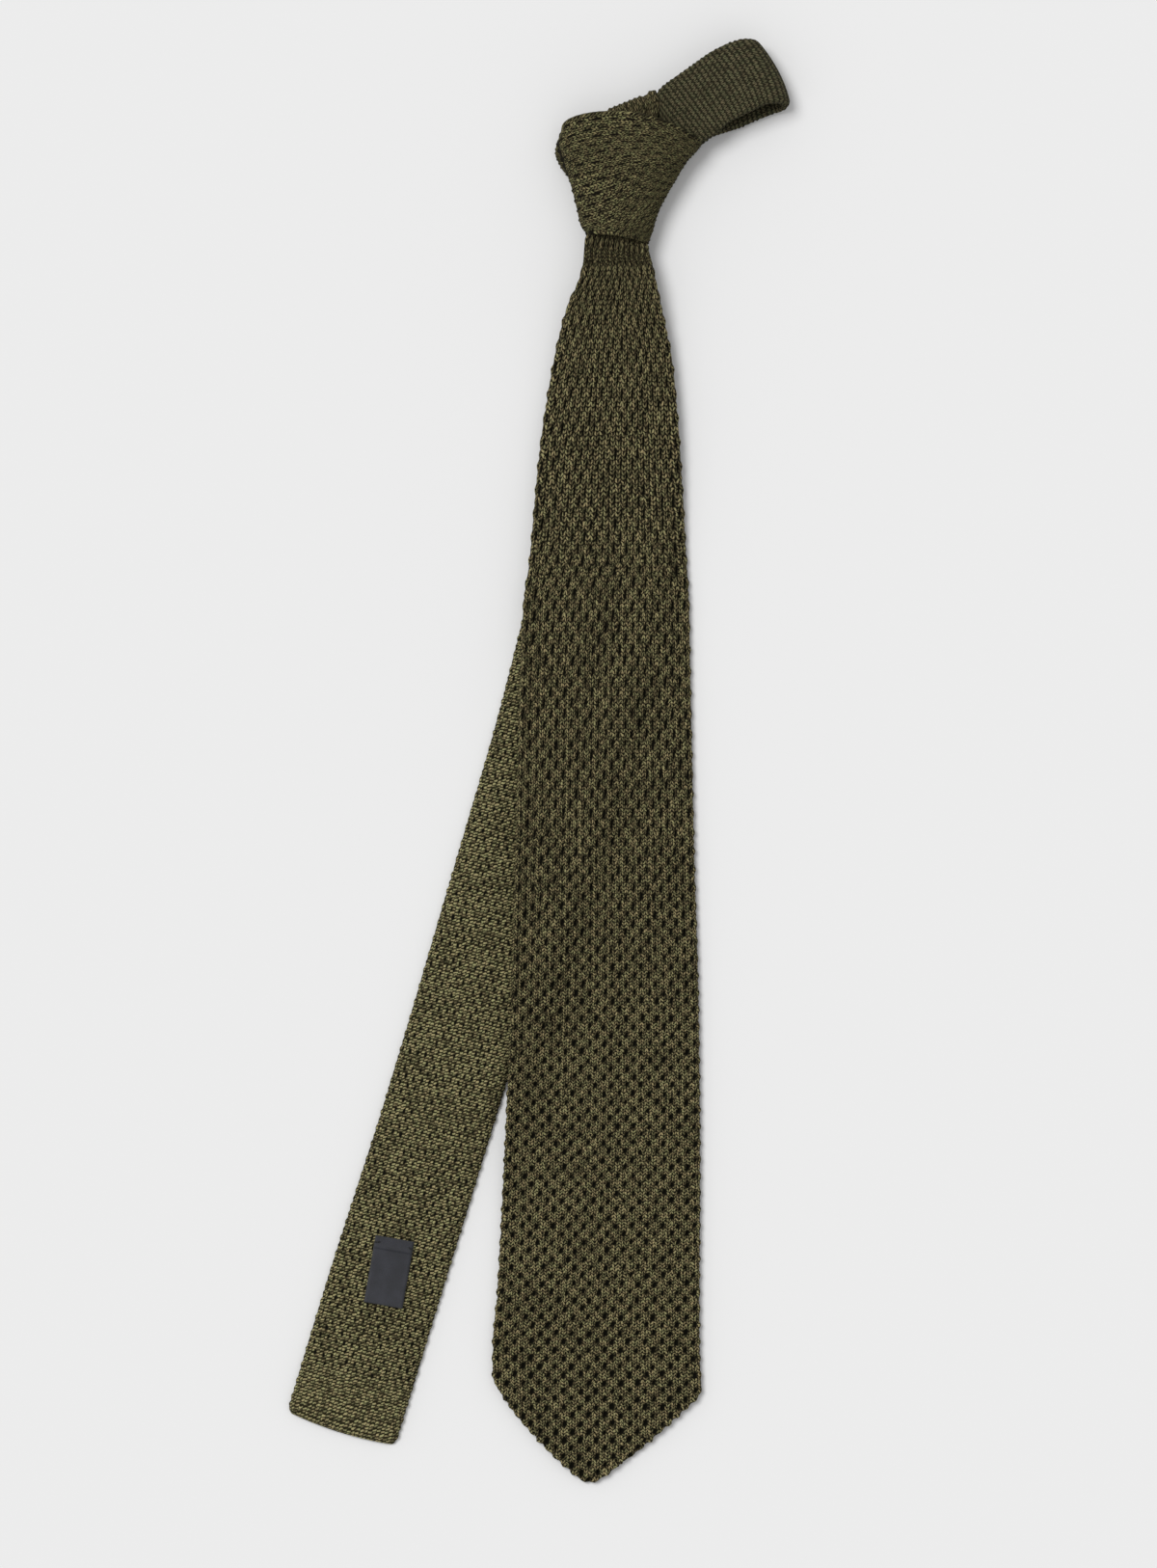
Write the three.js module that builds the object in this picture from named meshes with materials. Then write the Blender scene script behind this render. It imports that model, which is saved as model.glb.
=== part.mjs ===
import * as THREE from "three";

// A knit necktie, tied in a four-in-hand knot and laid flat with its narrow blade drawn out to the left.
// Millimetres. +Z is up from the floor, +Y runs from the pointed tip to the knot, +X is to the right.
// The origin lies under the wide blade, where it rests on the floor.

// Blades
const WIDE_LENGTH = 450; // from the pointed tip to the knot's lower edge
const WIDE_WIDTH = 76; // at its widest
const NARROW_LENGTH = 444; // from the knot's lower edge to the square end, along the cloth
const NARROW_WIDTH = 41;
const BLADE_THICK = 3.4; // two plies of knit, pressed face to face
const DRAPE_REACH = 14; // how far the wide blade takes to come down to the floor beside the narrow one
const RISE_REACH = 52; // how far from the knot the blades leave the floor
const REST_FROM_TIP = 93; // from the pointed tip to the origin
const DRAPE_MARGIN = 1.5; // how far beside the narrow blade the wide one stays at its full height
const SWELL_REACH = 13; // how far from the knot the narrow blade takes to swell to its own thickness
const MOUTH_REACH = 5; // how far from the knot the wide blade runs level

// Neck loop
const LOOP_LENGTH = 37.5; // from the knot's mouth to the outside of the far fold
const BAND_WIDTH = 27;
const BAND_THICK = 3.2;
const LOOP_GAP = 7; // between the upper and the lower layer, at the far fold
const LOOP_ANGLE = THREE.MathUtils.degToRad(29.3); // the loop's way, up from +X
const FOLD_ANGLE = THREE.MathUtils.degToRad(11.6); // the far fold's own way, up from +X
const MOUTH_RISE = 1.2; // of the upper layer's right edge at the mouth, over the step of a layer

// Knot
const KNOT_WIDTH = 52; // across its upper corners
const KNOT_LENGTH = 46; // from its lower edge to the top of its dome
const WRAP_THICK = 2.4; // the band round the knot
const SQUEEZED_THICK = 2.8; // a layer inside the knot
const KNOT_SLACK = 2; // free height left inside the knot
const BACK_FOLD = 2.8; // how far the knot's hidden turn stands out past the wrap's left side
const BACK_FOLD_PLACE = 0.74; // its middle, as a share of the wrap's height
const BACK_FOLD_REACH = 0.3; // from its middle to where it ends, as a share of the wrap's height
const TURNED_LENGTH = 6; // of the wide blade, down behind the knot's top
const CLEARANCE = 0.3; // between pieces that touch
const BLADE_GAP = 0.5; // between the blades, where the wide one lies over the narrow one

// Label
const LABEL_WIDTH = 14.2;
const LABEL_LENGTH = 24.6;
const LABEL_THICK = 0.6;
const LABEL_PLACE = 0.868; // its middle, as a share of the narrow blade's length
const LABEL_TWIST = THREE.MathUtils.degToRad(7.4); // from the narrow blade's own direction
const LABEL_CURL = 0.9; // how far the free end lifts

// How many columns of faces each strip of cloth has, and how many steps a fold
const COLUMNS = { wide_blade: 11, narrow_blade: 7, neck_loop: 7, label: 2 };
const FOLD_STEPS = 8;
const TABLE_STEP = 0.032;
const LOOP_TABLE_STEP = 0.08;

// Places and heights that follow from the sizes
const TIP_Y = -REST_FROM_TIP;
const KNOT_X = 0.092 * WIDE_WIDTH;
const KNOT_Y = TIP_Y + WIDE_LENGTH;
const LAYER_STEP = SQUEEZED_THICK + CLEARANCE;
const FIRST_LEVEL = WRAP_THICK + CLEARANCE + KNOT_SLACK / 2;
const WIDE_LEVEL = FIRST_LEVEL + LAYER_STEP;
const TONGUE_LEVEL = FIRST_LEVEL + 2 * LAYER_STEP;
const KNOT_LOW_HEIGHT = 2 * FIRST_LEVEL + 2 * SQUEEZED_THICK + CLEARANCE;
const KNOT_TOP_HEIGHT = KNOT_LOW_HEIGHT + LAYER_STEP;
const MOUTH_X = KNOT_X + 0.441 * KNOT_WIDTH;
const MOUTH_Y = KNOT_Y + 0.928 * KNOT_LENGTH;
const MOUTH_BAND = 0.52 * KNOT_WIDTH;

// The wide blade's outline. Shares of WIDE_LENGTH from the tip, of WIDE_WIDTH and of BLADE_THICK
const WIDE_ROWS = [
  { at: 0.0, left: -0.071, right: -0.021, body: 0.55 },
  { at: 0.005, left: -0.113, right: 0.03, body: 0.85 },
  { at: 0.023, left: -0.233, right: 0.173, body: 0.96 },
  { at: 0.058, left: -0.417, right: 0.408, body: 1 },
  { at: 0.07, left: -0.468, right: 0.478, body: 1 },
  { at: 0.076, left: -0.49, right: 0.486, body: 1 },
  { at: 0.086, left: -0.508, right: 0.482, body: 1 },
  { at: 0.105, left: -0.508, right: 0.478, body: 1 },
  { at: 0.152, left: -0.486, right: 0.477, body: 1 },
  { at: 0.245, left: -0.456, right: 0.48, body: 1 },
  { at: 0.37, left: -0.424, right: 0.474, body: 1 },
  { at: 0.51, left: -0.398, right: 0.451, body: 1 },
  { at: 0.65, left: -0.375, right: 0.433, body: 1 },
  { at: 0.712, left: -0.357, right: 0.426, body: 1 },
  { at: 0.735, left: -0.336, right: 0.417, body: 1 },
  { at: 0.829, left: -0.283, right: 0.384, body: 1.02 },
  { at: 0.899, left: -0.219, right: 0.348, body: 1.05 },
  { at: 0.945, left: -0.152, right: 0.295, body: 1.12 },
  { at: 0.969, left: -0.09, right: 0.263, body: 1.15 },
  { at: 0.982, left: -0.073, right: 0.248, body: 1.08 },
];

// The wide blade inside the knot. Shares of KNOT_WIDTH and KNOT_LENGTH from the lower edge's middle,
// and of the rise from WIDE_LEVEL to TONGUE_LEVEL
const TONGUE_ROWS = [
  { leftX: -0.23, leftY: -0.016, rightX: 0.207, rightY: -0.09, rise: 0 },
  { leftX: -0.15, leftY: 0.014, rightX: 0.138, rightY: -0.06, rise: 0 },
  { leftX: -0.14, leftY: 0.06, rightX: 0.14, rightY: 0.03, rise: 0.04 },
  { leftX: -0.151, leftY: 0.221, rightX: 0.172, rightY: 0.236, rise: 0.3 },
  { leftX: -0.158, leftY: 0.441, rightX: 0.192, rightY: 0.487, rise: 0.7 },
  { leftX: -0.175, leftY: 0.685, rightX: 0.236, rightY: 0.776, rise: 0.95 },
  { leftX: -0.138, leftY: 0.885, rightX: 0.286, rightY: 1.078, rise: 1 },
];

// The narrow blade inside the knot and where it leaves it. Shares of KNOT_WIDTH and KNOT_LENGTH
const TAIL_ROWS = [
  { leftX: -0.14, leftY: 0.57, rightX: 0.14, rightY: 0.57 },
  { leftX: -0.14, leftY: 0.3, rightX: 0.14, rightY: 0.3 },
  { leftX: -0.145, leftY: 0.014, rightX: 0.135, rightY: -0.06 },
  { leftX: -0.205, leftY: -0.018, rightX: 0.185, rightY: -0.09 },
];

// The narrow blade's course. Shares of NARROW_LENGTH along the cloth, down and aside from the knot's
// lower edge, of NARROW_WIDTH and of the thickness
const NARROW_ROWS = [
  { at: 0.018, down: 0.018, aside: 0.0005, width: 0.53, body: 1 },
  { at: 0.045, down: 0.045, aside: 0, width: 0.62, body: 1 },
  { at: 0.118, down: 0.118, aside: 0.001, width: 0.785, body: 1 },
  { at: 0.198, down: 0.197, aside: 0.01, width: 0.9, body: 1 },
  { at: 0.278, down: 0.276, aside: 0.0248, width: 0.97, body: 1 },
  { at: 0.391, down: 0.386, aside: 0.0508, width: 0.98, body: 1 },
  { at: 0.539, down: 0.528, aside: 0.0918, width: 0.98, body: 1 },
  { at: 0.736, down: 0.717, aside: 0.1478, width: 0.982, body: 1 },
  { at: 0.885, down: 0.859, aside: 0.1925, width: 1, body: 1 },
  { at: 0.985, down: 0.958, aside: 0.2227, width: 1, body: 1 },
  { at: 0.995, down: 0.9685, aside: 0.2259, width: 0.985, body: 0.85 },
  { at: 1.0, down: 0.9735, aside: 0.2275, width: 0.93, body: 0.6 },
];

// The neck loop's two layers, from the knot's mouth outwards. Shares of LOOP_LENGTH along its way, of
// BAND_WIDTH aside, of the height at the mouth, and of the band's own width and thickness against the knot's
const LOWER_ROWS = [
  { leftAlong: -0.19, leftAside: -0.06, rightAlong: -0.255, rightAside: 0.369, lift: 1, free: 0 },
  { leftAlong: -0.115, leftAside: -0.264, rightAlong: -0.062, rightAside: 0.234, lift: 1, free: 0 },
  { leftAlong: -0.066, leftAside: -0.359, rightAlong: 0, rightAside: 0.133, lift: 1, free: 0.1 },
  { leftAlong: 0.015, leftAside: -0.417, rightAlong: 0.1, rightAside: 0.285, lift: 0.9, free: 0.4 },
  { leftAlong: 0.148, leftAside: -0.42, rightAlong: 0.18, rightAside: 0.377, lift: 0.6, free: 0.9 },
  { leftAlong: 0.314, leftAside: -0.484, rightAlong: 0.317, rightAside: 0.41, lift: 0.28, free: 1 },
  { leftAlong: 0.52, leftAside: -0.517, rightAlong: 0.473, rightAside: 0.449, lift: 0.05, free: 1 },
  { leftAlong: 0.692, leftAside: -0.517, rightAlong: 0.656, rightAside: 0.473, lift: 0, free: 1 },
  { leftAlong: 0.843, leftAside: -0.465, rightAlong: 0.826, rightAside: 0.506, lift: 0, free: 1 },
];
const UPPER_ROWS = [
  { leftAlong: -0.189, leftAside: -0.1, rightAlong: -0.247, rightAside: 0.373, lift: 1, free: 0 },
  { leftAlong: -0.104, leftAside: -0.315, rightAlong: -0.054, rightAside: 0.24, lift: 1, free: 0 },
  { leftAlong: -0.06, leftAside: -0.4, rightAlong: 0.004, rightAside: 0.122, lift: 1, free: 0.1 },
  { leftAlong: 0.018, leftAside: -0.49, rightAlong: 0.119, rightAside: 0.316, lift: 0.95, free: 0.4 },
  { leftAlong: 0.179, leftAside: -0.556, rightAlong: 0.257, rightAside: 0.371, lift: 0.75, free: 0.9 },
  { leftAlong: 0.362, leftAside: -0.583, rightAlong: 0.403, rightAside: 0.328, lift: 0.5, free: 1 },
  { leftAlong: 0.566, leftAside: -0.61, rightAlong: 0.6, rightAside: 0.347, lift: 0.25, free: 1 },
  { leftAlong: 0.741, leftAside: -0.6, rightAlong: 0.746, rightAside: 0.357, lift: 0.08, free: 1 },
  { leftAlong: 0.838, leftAside: -0.575, rightAlong: 0.83, rightAside: 0.387, lift: 0, free: 1 },
];

// The wrap's two side lines, from its lower rim to its upper rim. Shares of KNOT_WIDTH and KNOT_LENGTH,
// and of the growth from the knot's lower height to its upper one
const WRAP_ROWS = [
  { at: 0, leftX: -0.225, leftY: 0.045, rightX: 0.212, rightY: -0.024, dome: 0.027, growth: 0 },
  { at: 0.1, leftX: -0.262, leftY: 0.1, rightX: 0.239, rightY: 0.068, dome: 0.035, growth: 0.12 },
  { at: 0.25, leftX: -0.289, leftY: 0.228, rightX: 0.279, rightY: 0.213, dome: 0.05, growth: 0.35 },
  { at: 0.5, leftX: -0.343, leftY: 0.464, rightX: 0.387, rightY: 0.441, dome: 0.09, growth: 0.75 },
  { at: 0.75, leftX: -0.39, leftY: 0.647, rightX: 0.488, rightY: 0.624, dome: 0.12, growth: 0.95 },
  { at: 0.9, leftX: -0.417, leftY: 0.76, rightX: 0.56, rightY: 0.71, dome: 0.14, growth: 1 },
  { at: 1, leftX: -0.398, leftY: 0.862, rightX: 0.582, rightY: 0.75, dome: 0.16, growth: 1 },
];

// The wall of the wrap, once round its section: how far up the wrap, and how deep from outside to inside
const WRAP_WALL = [
  { at: 0, depth: 0.12 },
  { at: 0.06, depth: 0 },
  { at: 0.16, depth: 0 },
  { at: 0.3, depth: 0 },
  { at: 0.46, depth: 0 },
  { at: 0.62, depth: 0 },
  { at: 0.78, depth: 0 },
  { at: 0.9, depth: 0 },
  { at: 1, depth: 0.12 },
  { at: 1.022, depth: 0.5 },
  { at: 1, depth: 0.9 },
  { at: 0.86, depth: 1 },
  { at: 0.62, depth: 1 },
  { at: 0.38, depth: 1 },
  { at: 0.16, depth: 1 },
  { at: 0, depth: 0.9 },
  { at: -0.022, depth: 0.5 },
];

// The label from its free lower end to the end that is folded and sewn. Shares of LABEL_LENGTH,
// LABEL_THICK and LABEL_CURL
const LABEL_ROWS = [
  { at: 0, body: 1, curl: 1 },
  { at: 0.2, body: 1, curl: 0.5 },
  { at: 0.5, body: 1, curl: 0.05 },
  { at: 0.82, body: 1, curl: 0 },
  { at: 0.86, body: 1.5, curl: 0 },
  { at: 1, body: 1.4, curl: 0 },
];

// Numbers between the rows of a table, smooth and with no overshoot
function smoothTable(rows) {
  const names = Object.keys(rows[0]).filter((name) => name !== "at");
  const slope = (i, name) => (rows[i + 1][name] - rows[i][name]) / (rows[i + 1].at - rows[i].at);
  const tangent = (i, name) => {
    if (i === 0) return slope(0, name);
    if (i === rows.length - 1) return slope(i - 1, name);
    const before = slope(i - 1, name);
    const after = slope(i, name);
    return before * after > 0 ? (2 * before * after) / (before + after) : 0;
  };
  return (at) => {
    let i = 0;
    while (i < rows.length - 2 && at > rows[i + 1].at) i += 1;
    const span = rows[i + 1].at - rows[i].at;
    const t = (at - rows[i].at) / span;
    const value = { at };
    for (const name of names) {
      const [low, high] = [rows[i][name], rows[i + 1][name]];
      const bulge = t * (1 - t) ** 2 * tangent(i, name) - t * t * (1 - t) * tangent(i + 1, name);
      value[name] = low + (high - low) * t * t * (3 - 2 * t) + span * bulge;
    }
    return value;
  };
}

// The table again, with rows no further apart than step
function fillTable(rows, step) {
  const read = smoothTable(rows);
  const filled = [];
  rows.slice(1).forEach((row, i) => {
    const span = row.at - rows[i].at;
    const parts = Math.ceil(span / step);
    for (let k = 0; k < parts; k += 1) filled.push(read(rows[i].at + (span * k) / parts));
  });
  filled.push(read(rows[rows.length - 1].at));
  return filled;
}

// A table with no column of its own for the way along it gets one, from 0 to 1
function numbered(rows) {
  return rows.map((row, i) => ({ at: i / (rows.length - 1), ...row }));
}

function mix(low, high, share) {
  return low + (high - low) * share;
}

// 0 below 0, 1 above 1 and smooth between
function ease(share) {
  return THREE.MathUtils.smootherstep(share, 0, 1);
}

// A point at a share of the knot's width and length from the middle of its lower edge
function knotPoint(acrossShare, upShare, z) {
  return new THREE.Vector3(KNOT_X + acrossShare * KNOT_WIDTH, KNOT_Y + upShare * KNOT_LENGTH, z);
}

function closedMesh(name, points, faces, material) {
  const geometry = new THREE.BufferGeometry();
  const numbers = points.flatMap((point) => point.toArray());
  geometry.setAttribute("position", new THREE.Float32BufferAttribute(numbers, 3));
  geometry.setIndex(faces.flat());
  geometry.computeVertexNormals();
  const mesh = new THREE.Mesh(geometry, material);
  mesh.name = name;
  return mesh;
}

function cloth(color) {
  return new THREE.MeshStandardMaterial({ color, roughness: 0.95, metalness: 0 });
}

// Where a section's points lie from its left edge, closer together at its round edges
function acrossPlaces(width, round, columns) {
  const flat = width - 2 * round;
  const bevel = 0.3 * round;
  const places = [0, bevel];
  for (let k = 0; k <= columns; k += 1) places.push(round + (flat * k) / columns);
  places.push(width - bevel, width);
  return places;
}

// The points round one section, over its upper face from left to right and back under it.
// A section has its two edges, its thickness, the way its upper face looks and, where it drapes, a lift
function sectionRing(section, columns) {
  const { left, right, thick, up, lift } = section;
  const width = left.distanceTo(right);
  const round = Math.min(thick / 2, width / 3);
  const places = acrossPlaces(width, round, columns);
  const pointAt = (place, face) => {
    const fromEdge = Math.min(place, width - place) / round;
    const half = fromEdge >= 1 ? thick / 2 : (thick / 2) * Math.sqrt(1 - (1 - fromEdge) ** 2);
    const point = left.clone().lerp(right, place / width);
    if (lift) point.z += lift(point.x, point.y);
    return point.addScaledVector(up, face * half);
  };
  const over = places.map((place) => pointAt(place, 1));
  const under = places.slice(1, -1).reverse().map((place) => pointAt(place, -1));
  return [...over, ...under];
}

// Each section's upper side, square to its own width and to the way the strip runs
function faceSections(sections) {
  const middle = (section) => section.left.clone().add(section.right).multiplyScalar(0.5);
  return sections.map((section, i) => {
    const before = middle(sections[Math.max(i - 1, 0)]);
    const after = middle(sections[Math.min(i + 1, sections.length - 1)]);
    const side = section.right.clone().sub(section.left);
    return { ...section, up: side.cross(after.sub(before)).normalize() };
  });
}

// One closed strip of cloth, lofted through its sections and closed at both ends
function clothStrip(name, sections, material) {
  const rings = faceSections(sections).map((section) => sectionRing(section, COLUMNS[name]));
  const around = rings[0].length;
  const faces = [];
  for (let i = 0; i < rings.length - 1; i += 1) {
    for (let k = 0; k < around; k += 1) {
      const a = i * around + k;
      const b = i * around + ((k + 1) % around);
      faces.push([a, b, b + around], [a, b + around, a + around]);
    }
  }
  const lastPlace = around / 2;
  const closeEnd = (first, order) => {
    const at = (k) => first + (k % around);
    const add = (a, b, c) => faces.push(order > 0 ? [a, b, c] : [a, c, b]);
    add(at(0), at(around - 1), at(1));
    for (let k = 1; k < lastPlace - 1; k += 1) {
      add(at(k), at(around - k), at(around - k - 1));
      add(at(k), at(around - k - 1), at(k + 1));
    }
    add(at(lastPlace - 1), at(lastPlace + 1), at(lastPlace));
  };
  closeEnd(0, 1);
  closeEnd((rings.length - 1) * around, -1);
  return closedMesh(name, rings.flat(), faces, material);
}

// Sections round a half turn, from a first section's edges out along a way and over or under
function foldSections(left, right, way, outward, height, drift, thick) {
  const sections = [];
  for (let k = 1; k < FOLD_STEPS; k += 1) {
    const turn = (Math.PI * k) / FOLD_STEPS;
    const shift = way.clone().multiplyScalar(outward * Math.sin(turn));
    shift.addScaledVector(drift, (1 - Math.cos(turn)) / 2);
    shift.z += (height * (1 - Math.cos(turn))) / 2;
    sections.push({ left: left.clone().add(shift), right: right.clone().add(shift), thick });
  }
  return sections;
}

// The narrow blade: a short stretch inside the knot, then down to the floor and out to its square end
function narrowSections() {
  const inside = TAIL_ROWS.map((row) => ({
    left: knotPoint(row.leftX, row.leftY, FIRST_LEVEL + SQUEEZED_THICK / 2),
    right: knotPoint(row.rightX, row.rightY, FIRST_LEVEL + SQUEEZED_THICK / 2),
    thick: SQUEEZED_THICK,
  }));
  const course = fillTable(NARROW_ROWS, TABLE_STEP).map((row) => {
    const along = row.at * NARROW_LENGTH;
    const thick = row.body * mix(BLADE_THICK, SQUEEZED_THICK, ease(1 - along / SWELL_REACH));
    const x = KNOT_X - row.aside * NARROW_LENGTH;
    const y = KNOT_Y - row.down * NARROW_LENGTH;
    const z = FIRST_LEVEL * ease(1 - along / RISE_REACH) + thick / 2;
    return { thick, width: row.width * NARROW_WIDTH, middle: new THREE.Vector3(x, y, z) };
  });
  const outside = course.map((row, i) => {
    const before = course[Math.max(i - 1, 0)].middle;
    const after = course[Math.min(i + 1, course.length - 1)].middle;
    const way = after.clone().sub(before).setZ(0).normalize();
    const half = new THREE.Vector3(-way.y, way.x, 0).multiplyScalar(row.width / 2);
    return { left: row.middle.clone().sub(half), right: row.middle.clone().add(half), thick: row.thick };
  });
  return [...inside, ...outside];
}

// How far a point of the floor is beside the narrow blade, and how high that blade's upper face is there
function besideNarrow(sections, x, y) {
  const point = new THREE.Vector3(x, y, 0);
  const line = new THREE.Line3();
  const nearest = new THREE.Vector3();
  let best = { beside: Infinity, top: 0 };
  for (let i = 0; i < sections.length - 1; i += 1) {
    const [from, to] = [sections[i], sections[i + 1]].map((section) => ({
      middle: section.left.clone().lerp(section.right, 0.5),
      half: section.left.distanceTo(section.right) / 2,
      thick: section.thick,
    }));
    const top = [from, to].map((end) => end.middle.z + end.thick / 2);
    line.start.copy(from.middle).setZ(0);
    line.end.copy(to.middle).setZ(0);
    const share = line.closestPointToPointParameter(point, true);
    line.at(share, nearest);
    const beside = nearest.distanceTo(point) - mix(from.half, to.half, share);
    if (beside < best.beside) best = { beside, top: mix(top[0], top[1], share) };
  }
  return best;
}

// The wide blade: from its tip up over the narrow blade, through the knot, over its top and down behind
function wideSections(narrow) {
  const lift = (x, y) => {
    const { beside, top } = besideNarrow(narrow, x, y);
    const cover = ease(1 - (beside - DRAPE_MARGIN) / DRAPE_REACH);
    const nearKnot = ease(2 - (KNOT_Y - y) / MOUTH_REACH);
    return mix((top + BLADE_GAP) * cover, WIDE_LEVEL, nearKnot);
  };
  const blade = fillTable(WIDE_ROWS, TABLE_STEP).map((row) => {
    const thick = row.body * BLADE_THICK;
    const y = TIP_Y + row.at * WIDE_LENGTH;
    const left = new THREE.Vector3(row.left * WIDE_WIDTH, y, thick / 2);
    const right = new THREE.Vector3(row.right * WIDE_WIDTH, y, thick / 2);
    return { left, right, thick, lift };
  });
  const inner = TONGUE_ROWS.map((row) => {
    const z = mix(WIDE_LEVEL, TONGUE_LEVEL, row.rise) + SQUEEZED_THICK / 2;
    const left = knotPoint(row.leftX, row.leftY, z);
    const right = knotPoint(row.rightX, row.rightY, z);
    return { left, right, thick: SQUEEZED_THICK };
  });
  const { left, right } = inner[inner.length - 1];
  const side = right.clone().sub(left).normalize();
  const way = new THREE.Vector3(-side.y, side.x, 0);
  const drop = FIRST_LEVEL - TONGUE_LEVEL;
  const outward = -drop / 2;
  const noDrift = new THREE.Vector3();
  const fold = foldSections(left, right, way, outward, drop, noDrift, SQUEEZED_THICK);
  const behind = [0, TURNED_LENGTH].map((length) => {
    const shift = new THREE.Vector3(0, -length, drop);
    return { left: left.clone().add(shift), right: right.clone().add(shift), thick: SQUEEZED_THICK };
  });
  return [...blade, ...inner, ...fold, ...behind];
}

// One layer of the neck loop, from the knot's mouth outwards
function loopLayer(rows, heights) {
  const mouth = new THREE.Vector3(MOUTH_X, MOUTH_Y, 0);
  const way = new THREE.Vector3(Math.cos(LOOP_ANGLE), Math.sin(LOOP_ANGLE), 0);
  const aside = new THREE.Vector3(way.y, -way.x, 0);
  return fillTable(numbered(rows), LOOP_TABLE_STEP).map((row) => {
    const band = mix(MOUTH_BAND, BAND_WIDTH, row.free);
    const thick = mix(SQUEEZED_THICK, BAND_THICK, row.free);
    const edge = (along, asideShare, mouthZ) => {
      const point = mouth.clone().addScaledVector(way, along * LOOP_LENGTH);
      point.addScaledVector(aside, asideShare * band);
      return point.setZ(mix(heights.far, mouthZ, row.lift) + thick / 2);
    };
    const left = edge(row.leftAlong, row.leftAside, heights.left);
    const right = edge(row.rightAlong, row.rightAside, heights.right);
    return { left, right, thick };
  });
}

// The neck loop: the lower layer out along the floor, the far fold and the upper layer back to the knot
function loopSections() {
  const lower = loopLayer(LOWER_ROWS, { far: 0, left: FIRST_LEVEL, right: FIRST_LEVEL });
  const upper = loopLayer(UPPER_ROWS, {
    far: BAND_THICK + LOOP_GAP,
    left: TONGUE_LEVEL - CLEARANCE,
    right: FIRST_LEVEL + LAYER_STEP + MOUTH_RISE,
  });
  const from = lower[lower.length - 1];
  const to = upper[upper.length - 1];
  const way = new THREE.Vector3(Math.cos(FOLD_ANGLE), Math.sin(FOLD_ANGLE), 0);
  const rise = BAND_THICK + LOOP_GAP;
  const drift = to.left.clone().add(to.right).sub(from.left).sub(from.right).multiplyScalar(0.5).setZ(0);
  const fold = foldSections(from.left, from.right, way, rise / 2, rise, drift, BAND_THICK);
  return [...lower, ...fold, ...upper.reverse()];
}

// The wrap: a flattened sleeve round the knot, wide at its upper rim, with both rims rounded
function wrapMesh(material) {
  const read = smoothTable(WRAP_ROWS);
  const around = 44;
  const frontPower = 2 / 2.8;
  const backPower = 2 / 4;
  const leftDome = 0.6;
  const rightDome = 1.2;
  const signedPower = (value, power) => Math.sign(value) * Math.abs(value) ** power;
  const points = WRAP_WALL.flatMap(({ at, depth }) => {
    const held = THREE.MathUtils.clamp(at, 0, 1);
    const row = read(held);
    const left = knotPoint(row.leftX, row.leftY, 0);
    const right = knotPoint(row.rightX, row.rightY, 0);
    const halfWidth = (right.x - left.x) / 2;
    const halfHeight = mix(KNOT_LOW_HEIGHT, KNOT_TOP_HEIGHT, row.growth) / 2;
    const inset = depth * WRAP_THICK;
    return Array.from({ length: around }, (_, k) => {
      const turn = (2 * Math.PI * k) / around;
      const power = turn < Math.PI ? frontPower : backPower;
      const foldShare = Math.sqrt(Math.max(0, -Math.sin(turn))) * Math.max(0, Math.cos(turn));
      const foldReach = ease(1 - Math.abs(held - BACK_FOLD_PLACE) / BACK_FOLD_REACH);
      const fold = 2 * BACK_FOLD * foldShare * foldReach * (1 - depth);
      const across = -signedPower(Math.cos(turn), power) * (halfWidth - inset) - fold;
      const share = THREE.MathUtils.clamp((across + halfWidth) / (2 * halfWidth), 0, 1);
      const dome = row.dome * (4 * share * (1 - share)) ** (share < 0.5 ? leftDome : rightDome);
      const beyond = (at - held + dome) * KNOT_LENGTH;
      const x = (left.x + right.x) / 2 + across;
      const y = mix(left.y, right.y, share) + beyond;
      const z = halfHeight + signedPower(Math.sin(turn), power) * (halfHeight - inset);
      return new THREE.Vector3(x, y, z);
    });
  });
  const faces = [];
  WRAP_WALL.forEach((_, i) => {
    const next = (i + 1) % WRAP_WALL.length;
    for (let k = 0; k < around; k += 1) {
      const after = (k + 1) % around;
      const [a, b] = [i * around + k, i * around + after];
      const [c, d] = [next * around + after, next * around + k];
      faces.push([a, b, c], [a, c, d]);
    }
  });
  return closedMesh("knot_wrap", points, faces, material);
}

// The label: a short ribbon on the narrow blade, folded and sewn at its upper end, free at the other
function labelSections() {
  const read = smoothTable(NARROW_ROWS);
  const nearby = 0.01;
  const before = read(LABEL_PLACE - nearby);
  const after = read(LABEL_PLACE + nearby);
  const place = read(LABEL_PLACE);
  const middle = new THREE.Vector3(KNOT_X, KNOT_Y, 0);
  middle.x -= place.aside * NARROW_LENGTH;
  middle.y -= place.down * NARROW_LENGTH;
  const way = new THREE.Vector3(after.aside - before.aside, after.down - before.down, 0).normalize();
  way.applyAxisAngle(new THREE.Vector3(0, 0, 1), LABEL_TWIST);
  const half = new THREE.Vector3(way.y, -way.x, 0).multiplyScalar(LABEL_WIDTH / 2);
  return LABEL_ROWS.map(({ at, body, curl }) => {
    const thick = body * LABEL_THICK;
    const z = BLADE_THICK + CLEARANCE + curl * LABEL_CURL + thick / 2;
    const centre = middle.clone().addScaledVector(way, (at - 0.5) * LABEL_LENGTH).setZ(z);
    return { left: centre.clone().sub(half), right: centre.clone().add(half), thick };
  });
}

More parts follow.
